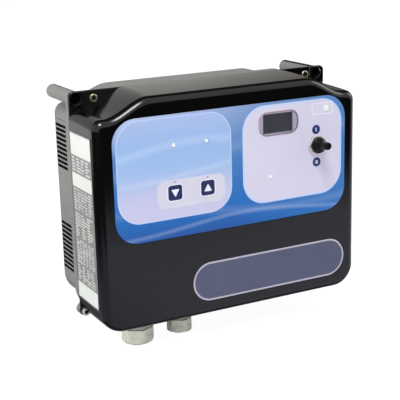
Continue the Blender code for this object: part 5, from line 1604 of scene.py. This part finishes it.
window = slab(window_outline, [(0.0, WINDOW_BACK), (0.0, -WINDOW_EDGE), (WINDOW_EDGE, 0.0)])
piece("window_pane", placed(window, facing(*DISPLAY)), WINDOW_CLEAR, ["display_window"])
bezel = filled([window_outline(0.0), screen_outline(-GAP)], BEZEL_BACK, BEZEL_FRONT)
piece("window_frame", placed(bezel, facing(*DISPLAY)), BEZEL_GREY, ["display_bezel"])
screen_profile = [(0.0, SCREEN_BACK), (0.0, SCREEN_FRONT - LAP), (LAP, SCREEN_FRONT)]
screen = slab(screen_outline, screen_profile)
piece("screen_block", placed(screen, facing(*DISPLAY)), SCREEN_BLACK, ["display_module"])
strokes = []
for across in (-DIGIT_PITCH, 0.0, DIGIT_PITCH):
    for outline in digit_strokes(across):
        strokes.append((filled([outline], SCREEN_FRONT + PRINT / 4, SCREEN_FRONT + PRINT), facing(*DISPLAY)))
piece("unlit_digits", joined(strokes), SEGMENT_GREY)

# %% [markdown]
# ## Lamps
# Four small lenses stand just proud of the film, each the end of a light pipe. They are turned shapes
# with a low dome.

# %% Lamps
LENS_LIP = 0.001
LENS_LIP_BACK = -0.0043
PIPE_RADIUS = 0.0016
LENS_PROUD = 0.0004


def make_lens(name):
    """One lens with its lip and pipe."""
    radius = LENS_RADII[name]
    lip = radius + LENS_LIP
    lip_front = LENS_LIP_BACK + LENS_LIP
    end = depths(name)[0]
    dome = [(radius * across, LENS_PROUD * up) for across, up in arc(0, 0, 1, 90, 0, 6)]
    profile = dome + [(radius, lip_front), (lip, lip_front), (lip, LENS_LIP_BACK)]
    profile += [(PIPE_RADIUS, LENS_LIP_BACK), (PIPE_RADIUS, end), (0.0, end)]
    mesh = placed(turned(profile, steps=32), facing(*middle(name)))
    piece(name + "_lens", mesh, LENS_WHITE, [name])


for lamp_name in LAMPS:
    make_lens(lamp_name)

# %% [markdown]
# ## Toggle switch
# A six-sided nut clamps the switch, and a rubber boot seals it. The nut is what a six-sided bar and a turned
# shape with coned ends share, which takes the tips off its corners as a lathe does.

# %% Toggle nut
NUT_FLATS = 0.017
NUT_CHAMFER = 0.0010
NUT_FACE = 0.985
NUT_BACK, NUT_FRONT = depths("toggle_nut")


def cone_ends(corner, flats, low, high, chamfer):
    """A turned shape that rounds the corners of a six-sided nut at both ends."""
    flat = flats / 2 * NUT_FACE
    profile = [(0.0, high), (flat, high), (corner, high - chamfer)]
    profile += [(corner, low + chamfer), (flat, low), (0.0, low)]
    return turned(profile, steps=64)


def six_sided(flats, low, high, chamfer, first=30):
    """A six-sided nut with turned corners."""
    bar = prism(hexagon(flats, first), low, high)
    ends = cone_ends(flats / math.sqrt(3) + LAP, flats, low - LAP, high + LAP, chamfer)
    return combined(bar, "INTERSECT", [(ends, STILL)])


nut = six_sided(NUT_FLATS, NUT_BACK, NUT_FRONT, NUT_CHAMFER, first=0)
nut_bore = prism(circle(BUSH_RADIUS + GAP), NUT_BACK - GAP, NUT_FRONT + GAP)
nut = combined(nut, "DIFFERENCE", [(nut_bore, STILL)])
piece("switch_nut", placed(nut, facing(*TOGGLE)), NUT_SILVER, ["toggle_nut"])

# %% [markdown]
# The boot is one moulding: its skirt stays straight and its sleeve is bent to the tilt of the lever.

# %% Rubber boot
toggle_joint = next(joint for joint in frame["joints"] if joint["name"] == "toggle_throw")
PIVOT = Vector(toggle_joint["pos_m"])
TILT = math.radians(6.0)
BOOT_BACK = NUT_FRONT + GAP
BEND_START = BOOT_BACK + 0.0006
BEND_END = 0.0125
BOOT_OUTSIDE = [
    (0.0074, BOOT_BACK),
    (0.0079, BOOT_BACK + 0.0005),
    (0.0079, 0.0061),
    (0.0076, 0.0066),
    (0.0070, 0.0068),
    (0.0067, 0.0072),
    (0.0070, 0.0076),
    (0.0070, 0.0083),
    (0.0066, 0.0088),
    (0.0059, 0.0090),
    (0.0057, 0.0094),
    (0.0058, 0.0098),
    (0.0056, 0.0104),
    (0.0050, 0.0110),
    (0.0044, 0.0117),
    (0.0040, 0.0127),
    (0.0038, 0.0140),
    (0.0037, 0.0160),
    (0.0038, 0.0176),
    (0.0039, 0.0186),
    (0.0039, 0.0200),
    (0.0037, 0.0211),
    (0.0032, 0.0219),
    (0.0025, 0.0223),
    (0.0021, 0.0222),
    (0.0015, 0.0221),
    (0.0, 0.0221),
]
BOOT_INSIDE = [(0.0, 0.0194), (0.0022, 0.0193), (0.0022, 0.0130), (0.0030, 0.0117), (0.0042, 0.0104)]
BOOT_INSIDE += [(0.0045, 0.0094), (0.0056, 0.0080), (0.0061, 0.0069), (0.0063, 0.0066), (0.0063, BOOT_BACK)]


def bent_boot(mesh):
    """Tilts a straight boot about the pivot, from nothing at its skirt to the full tilt at its sleeve."""
    pivot_out = FRONT_Y - PIVOT.y
    for vertex in mesh.vertices:
        t = min(max((vertex.co.z - BEND_START) / (BEND_END - BEND_START), 0.0), 1.0)
        angle = TILT * eased(t)
        up = vertex.co.y
        out = vertex.co.z - pivot_out
        vertex.co.y = up * math.cos(angle) + out * math.sin(angle)
        vertex.co.z = pivot_out + out * math.cos(angle) - up * math.sin(angle)
    return mesh


boot_mesh = shaded(placed(bent_boot(turned(BOOT_INSIDE + BOOT_OUTSIDE)), facing(*TOGGLE)), angle=60.0)
boot_mesh.materials.append(RUBBER_BLACK)
boot = linked("switch_boot", boot_mesh)
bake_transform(boot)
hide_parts("toggle_boot_skirt", "toggle_boot_sleeve")
print("boot", len(boot_mesh.polygons), "faces")

# %% [markdown]
# ## Cover screws
# Four socket screws hold the cover, yellow ones at the top and paler ones below. One screw is turned
# and given its six-sided socket, and a tree copies it to its places.

# %% Cover screws
HEAD_RADIUS = 0.0039
HEAD_HEIGHT = 0.003
HEAD_ROUND = 0.0007
SHANK_RADIUS = 0.0018
SOCKET_FLATS = 0.0040
SOCKET_DEPTH = 0.0023
SCREW_SEAT_Y = PARTING_Y - PLATE_THICKNESS
screw_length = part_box("cover_screw_top_left")[1].y - SCREW_SEAT_Y
head_edge = arc(HEAD_RADIUS - HEAD_ROUND, HEAD_HEIGHT - HEAD_ROUND, HEAD_ROUND, 90, 0, 5)
screw_profile = [(0.0, HEAD_HEIGHT)] + head_edge
screw_profile += [(HEAD_RADIUS, GAP), (SHANK_RADIUS, GAP)]
screw_profile += [(SHANK_RADIUS, -screw_length), (0.0, -screw_length)]
socket = prism(hexagon(SOCKET_FLATS), HEAD_HEIGHT - SOCKET_DEPTH, 2 * HEAD_HEIGHT)
screw = combined(turned(screw_profile, steps=40), "DIFFERENCE", [(socket, STILL)])
screw = placed(screw, UPRIGHT)


def in_socket(face, points):
    """Whether a face lies in the socket of a screw's head."""
    away = min(math.hypot(face.center.x - x, face.center.z - z) for x, _, z in points)
    behind = face.center.y - (SCREW_SEAT_Y - HEAD_HEIGHT)
    return away < SOCKET_FLATS / math.sqrt(3) and LAP < behind < SOCKET_DEPTH + LAP


def set_of_screws(name, nodes, finish):
    """A copy of the screw at each of some nodes. Mirrors leave it out, so the gloss beside it stays dark."""
    points = [(middle(node_name)[0], SCREW_SEAT_Y, middle(node_name)[1]) for node_name in nodes]
    made = piece(name, on_points(points, screw.copy(), finish), finish, nodes)
    # Painted shade in the socket of each screw.
    shade_faces(made.data, SOCKET_PAINTED_SHADE, lambda face: in_socket(face, points))
    made.visible_glossy = False


set_of_screws("top_cover_screws", COVER_SCREWS[:2], SCREW_ZINC)
set_of_screws("low_cover_screws", COVER_SCREWS[2:], SCREW_NICKEL)

# %% [markdown]
# ## Cable glands
# Two nylon glands pass through the underside: a rubber washer, a six-sided collar and a six-sided nut
# that squeezes a rubber seal round the cable. The nut draws in to a round mouth: it is what a six-sided
# bar and a turned shape with a quarter of an ellipse at its end share. A low tab on each of its flats
# gives the fingers a grip.

# %% Cable glands
DOME_WALL = 0.003
DOME_LIP = 0.0011
DOME_STANDOFF = 0.001
DOME_SIDES = {"thick": 0.0087, "thin": 0.0105}
DOME_CORNER = 0.0036
TAB_PROUD = 0.0009
TAB_RISE = 0.56
TAB_SHARES = {"thick": 0.37, "thin": 0.36}
GLAND_WALL = 0.0025
BORES = {"thick": 0.0066, "thin": 0.0046}


def heights(node_name):
    """The lowest and highest point of a gland piece, from the underside of the cover."""
    low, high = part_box(node_name)
    return low.z - BOTTOM, high.z - BOTTOM


def drawn_in(size, flats, margin):
    """The turned shape that draws a nut in to its round mouth, larger by a margin."""
    low, high = heights(size + "_gland_dome_nut")
    corner = flats / math.sqrt(3) + margin
    end = BORES[size] + GAP + DOME_LIP + margin
    draw = high - DOME_SIDES[size]
    shape = [(0.0, high + GAP), (corner - 2 * EDGE, high + GAP), (corner, high - EDGE)]
    for across, down in arc(0, 0, 1, 0, 90, 14):
        shape.append((end + (corner - end) * across, draw + (low - draw) * down))
    return turned(shape + [(0.0, low)], steps=72)


def tab_outline(size, flats, inset):
    """A grip tab seen from below. An inset narrows it and draws it in."""
    inner = BORES[size] + DOME_LIP
    length = flats / 2 + TAB_PROUD - inner
    width = TAB_SHARES[size] * flats - 2 * inset
    return rectangle(length, width, EDGE - inset / 2, (inner + length / 2 - inset, 0))


def grip_tab(size, flats):
    """A raised tab on the lower part of one flat, which draws in with the nut."""
    low, high = heights(size + "_gland_dome_nut")
    top = low + TAB_RISE * (high - low)
    profile = [(0.0, low + LAP), (0.0, top - TAB_PROUD), (TAB_PROUD / 2, top)]
    tab = slab(partial(tab_outline, size, flats), profile)
    return combined(drawn_in(size, flats, TAB_PROUD), "INTERSECT", [(tab, STILL)])


def dome_nut(size, flats, thread):
    """The nut that draws in to a round mouth, hollow for the thread and the seal."""
    low, high = heights(size + "_gland_dome_nut")
    mouth = BORES[size] + GAP
    bar = prism(soft_polygon(6, flats / math.sqrt(3), DOME_CORNER, 30, 4), low - DOME_WALL, high)
    nut = combined(bar, "INTERSECT", [(drawn_in(size, flats, 0.0), STILL)])
    tab = grip_tab(size, flats)
    for turn in range(6):
        nut = combined(nut, "UNION", [(tab, Matrix.Rotation(math.tau * turn / 6, 4, "Z"))])
    step = heights(size + "_gland_body")[0] - GAP
    seat = low + DOME_WALL
    hollow = [(0.0, high + DOME_WALL), (thread, high + DOME_WALL), (thread, step)]
    hollow += [(mouth + GLAND_WALL + GAP, seat), (mouth, seat)]
    hollow += [(mouth, low - DOME_WALL), (0.0, low - DOME_WALL)]
    return combined(nut, "DIFFERENCE", [(turned(hollow), STILL)])


def gland_body(size, flats, thread):
    """The threaded tube with its six-sided collar."""
    low, high = heights(size + "_gland_body")
    hex_high = heights(size + "_gland_washer")[0] - GAP
    hex_low = heights(size + "_gland_dome_nut")[1] + DOME_STANDOFF
    collar = six_sided(flats, hex_low, hex_high, 2 * EDGE)
    neck = thread - GLAND_WALL / 2
    tube = [(0.0, high), (thread, high), (thread, hex_low + EDGE)]
    tube += [(neck, hex_low + EDGE), (neck, low), (0.0, low)]
    solid = combined(collar, "UNION", [(turned(tube), STILL)])
    hole = prism(circle(neck - GLAND_WALL), low - GAP, high + GAP)
    return combined(solid, "DIFFERENCE", [(hole, STILL)])


def gland_ring(node_name, inner, outer):
    """A plain ring such as a washer."""
    low, high = heights(node_name)
    return filled([circle(outer), circle(inner)], low, high)


def make_gland(size):
    """One gland with all its pieces."""
    at = Matrix.Translation(gland_axis(size))
    name = size + "_gland"
    flats = size_of(name + "_dome_nut")[0]
    thread = THREAD_RADII[size]
    neck = thread - GLAND_WALL / 2
    body = placed(gland_body(size, flats, thread), at)
    # The tube and collar get the darker copy of the nylon: painted shade.
    piece(name + "_tube", body, COLLAR_PAINTED_SHADE, [name + "_body"])
    dome = placed(dome_nut(size, flats, neck + GAP), at)
    piece(name + "_dome", dome, GLAND_GREY, [name + "_dome_nut"])
    washer = placed(gland_ring(name + "_washer", thread + GAP, flats / 2), at)
    piece(name + "_ring", washer, RUBBER_BLACK, [name + "_washer"])
    low, high = heights(name + "_locknut")
    locknut = six_sided(flats, low, high, EDGE)
    bore = prism(circle(thread + GAP), low - GAP, high + GAP)
    locknut = placed(combined(locknut, "DIFFERENCE", [(bore, STILL)]), at)
    piece(name + "_backnut", locknut, GLAND_GREY, [name + "_locknut"])


for gland_size in THREAD_RADII:
    make_gland(gland_size)

# %% [markdown]
# ## Inside
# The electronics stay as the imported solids, because nobody sees them until the cover comes off. They
# still get finishes of their own: solder mask with faint tracks, taped copper wire, brushed aluminium
# and moulded cases.


# %% Finishes of the inside
def solder_mask():
    """Green board lacquer over faint square tracks."""
    material, tree, shader = plain_finish("board_green", {"IOR": 1.5})
    place = object_place(tree)
    tracks = node(tree, "TexBrick", {"Vector": place, "Scale": 60.0, "Mortar Size": 0.04}).outputs["Fac"]
    colour = ramp(tree, tracks, [(0.0, (0.016, 0.13, 0.05)), (1.0, (0.03, 0.20, 0.08))])
    tree.links.new(colour, shader.inputs["Base Color"])
    roughen(tree, shader, place, grain=700.0, roughness=0.35, relief=0.05)
    return material


def wound_wire():
    """Copper wire wound side by side round a ring, under clear tape."""
    material, tree, shader = plain_finish("coil_tape", {"Metallic": 0.4})
    place = object_place(tree)
    wire = node(tree, "TexWave", {"Vector": place, "Scale": 500.0, "Distortion": 1.5}).outputs["Fac"]
    colour = ramp(tree, wire, [(0.2, (0.30, 0.17, 0.03)), (0.8, (0.58, 0.38, 0.09))])
    tree.links.new(colour, shader.inputs["Base Color"])
    raised(tree, shader, wire, strength=0.5, distance=0.0004)
    tree.links.new(stretched(tree, wire, 0.0, 1.0, 0.35, 0.5), shader.inputs["Roughness"])
    return material


INSIDE = {
    solder_mask(): ["display_board", "main_board"],
    wound_wire(): ["transformer_coil"],
    RUBBER_BLACK: ["cover_gasket", "thick_gland_seal", "thin_gland_seal"],
    BRIGHT_METAL: ["display_board_screw_1", "display_board_screw_2", "toggle_bushing", "toggle_lever"],
    moulded("clamp_steel", (0.62, 0.62, 0.60), 0.3, Metallic=1.0): ["transformer_clamp", "transformer_bolt"],
    moulded("board_screw_steel", (0.70, 0.69, 0.66), 0.25, Metallic=1.0): [
        f"main_board_screw_{number}" for number in (1, 2, 3, 4)
    ],
    moulded("chip_black", (0.02, 0.02, 0.02), 0.5): [
        "key_switch_down",
        "key_switch_up",
        "toggle_body",
        "bridge_rectifier",
        "capacitor",
        "fuse_holder",
    ],
    moulded("relay_blue", (0.03, 0.10, 0.35), 0.4): ["relay_left", "relay_right"],
    moulded("terminal_green", (0.05, 0.30, 0.12), 0.5): ["mains_terminal", "cell_terminal"],
    moulded("fuse_glass", (0.80, 0.85, 0.85), 0.08, Transmission_Weight=0.8): ["fuse"],
    moulded("sink_metal", (0.60, 0.60, 0.62), 0.38, grain=1200.0, Metallic=1.0): ["heat_sink"],
    moulded("ribbon_grey", (0.45, 0.45, 0.47), 0.55): ["ribbon_cable"],
}


def dress_solids():
    """Gives each solid that still shows its own finish."""
    for material, names in INSIDE.items():
        for name in names:
            for place in frame["nodes"][name].material_slots:
                place.material = material
    bare = [name for name, solid in frame["nodes"].items() if not solid.hide_render]
    known = {name for names in INSIDE.values() for name in names}
    print("solids that show:", len(bare), "without a finish:", sorted(set(bare) - known))


dress_solids()

# %% Box of the imported solids
print("cad box", [[round(x, 4) for x in c] for c in CAD_BOX])
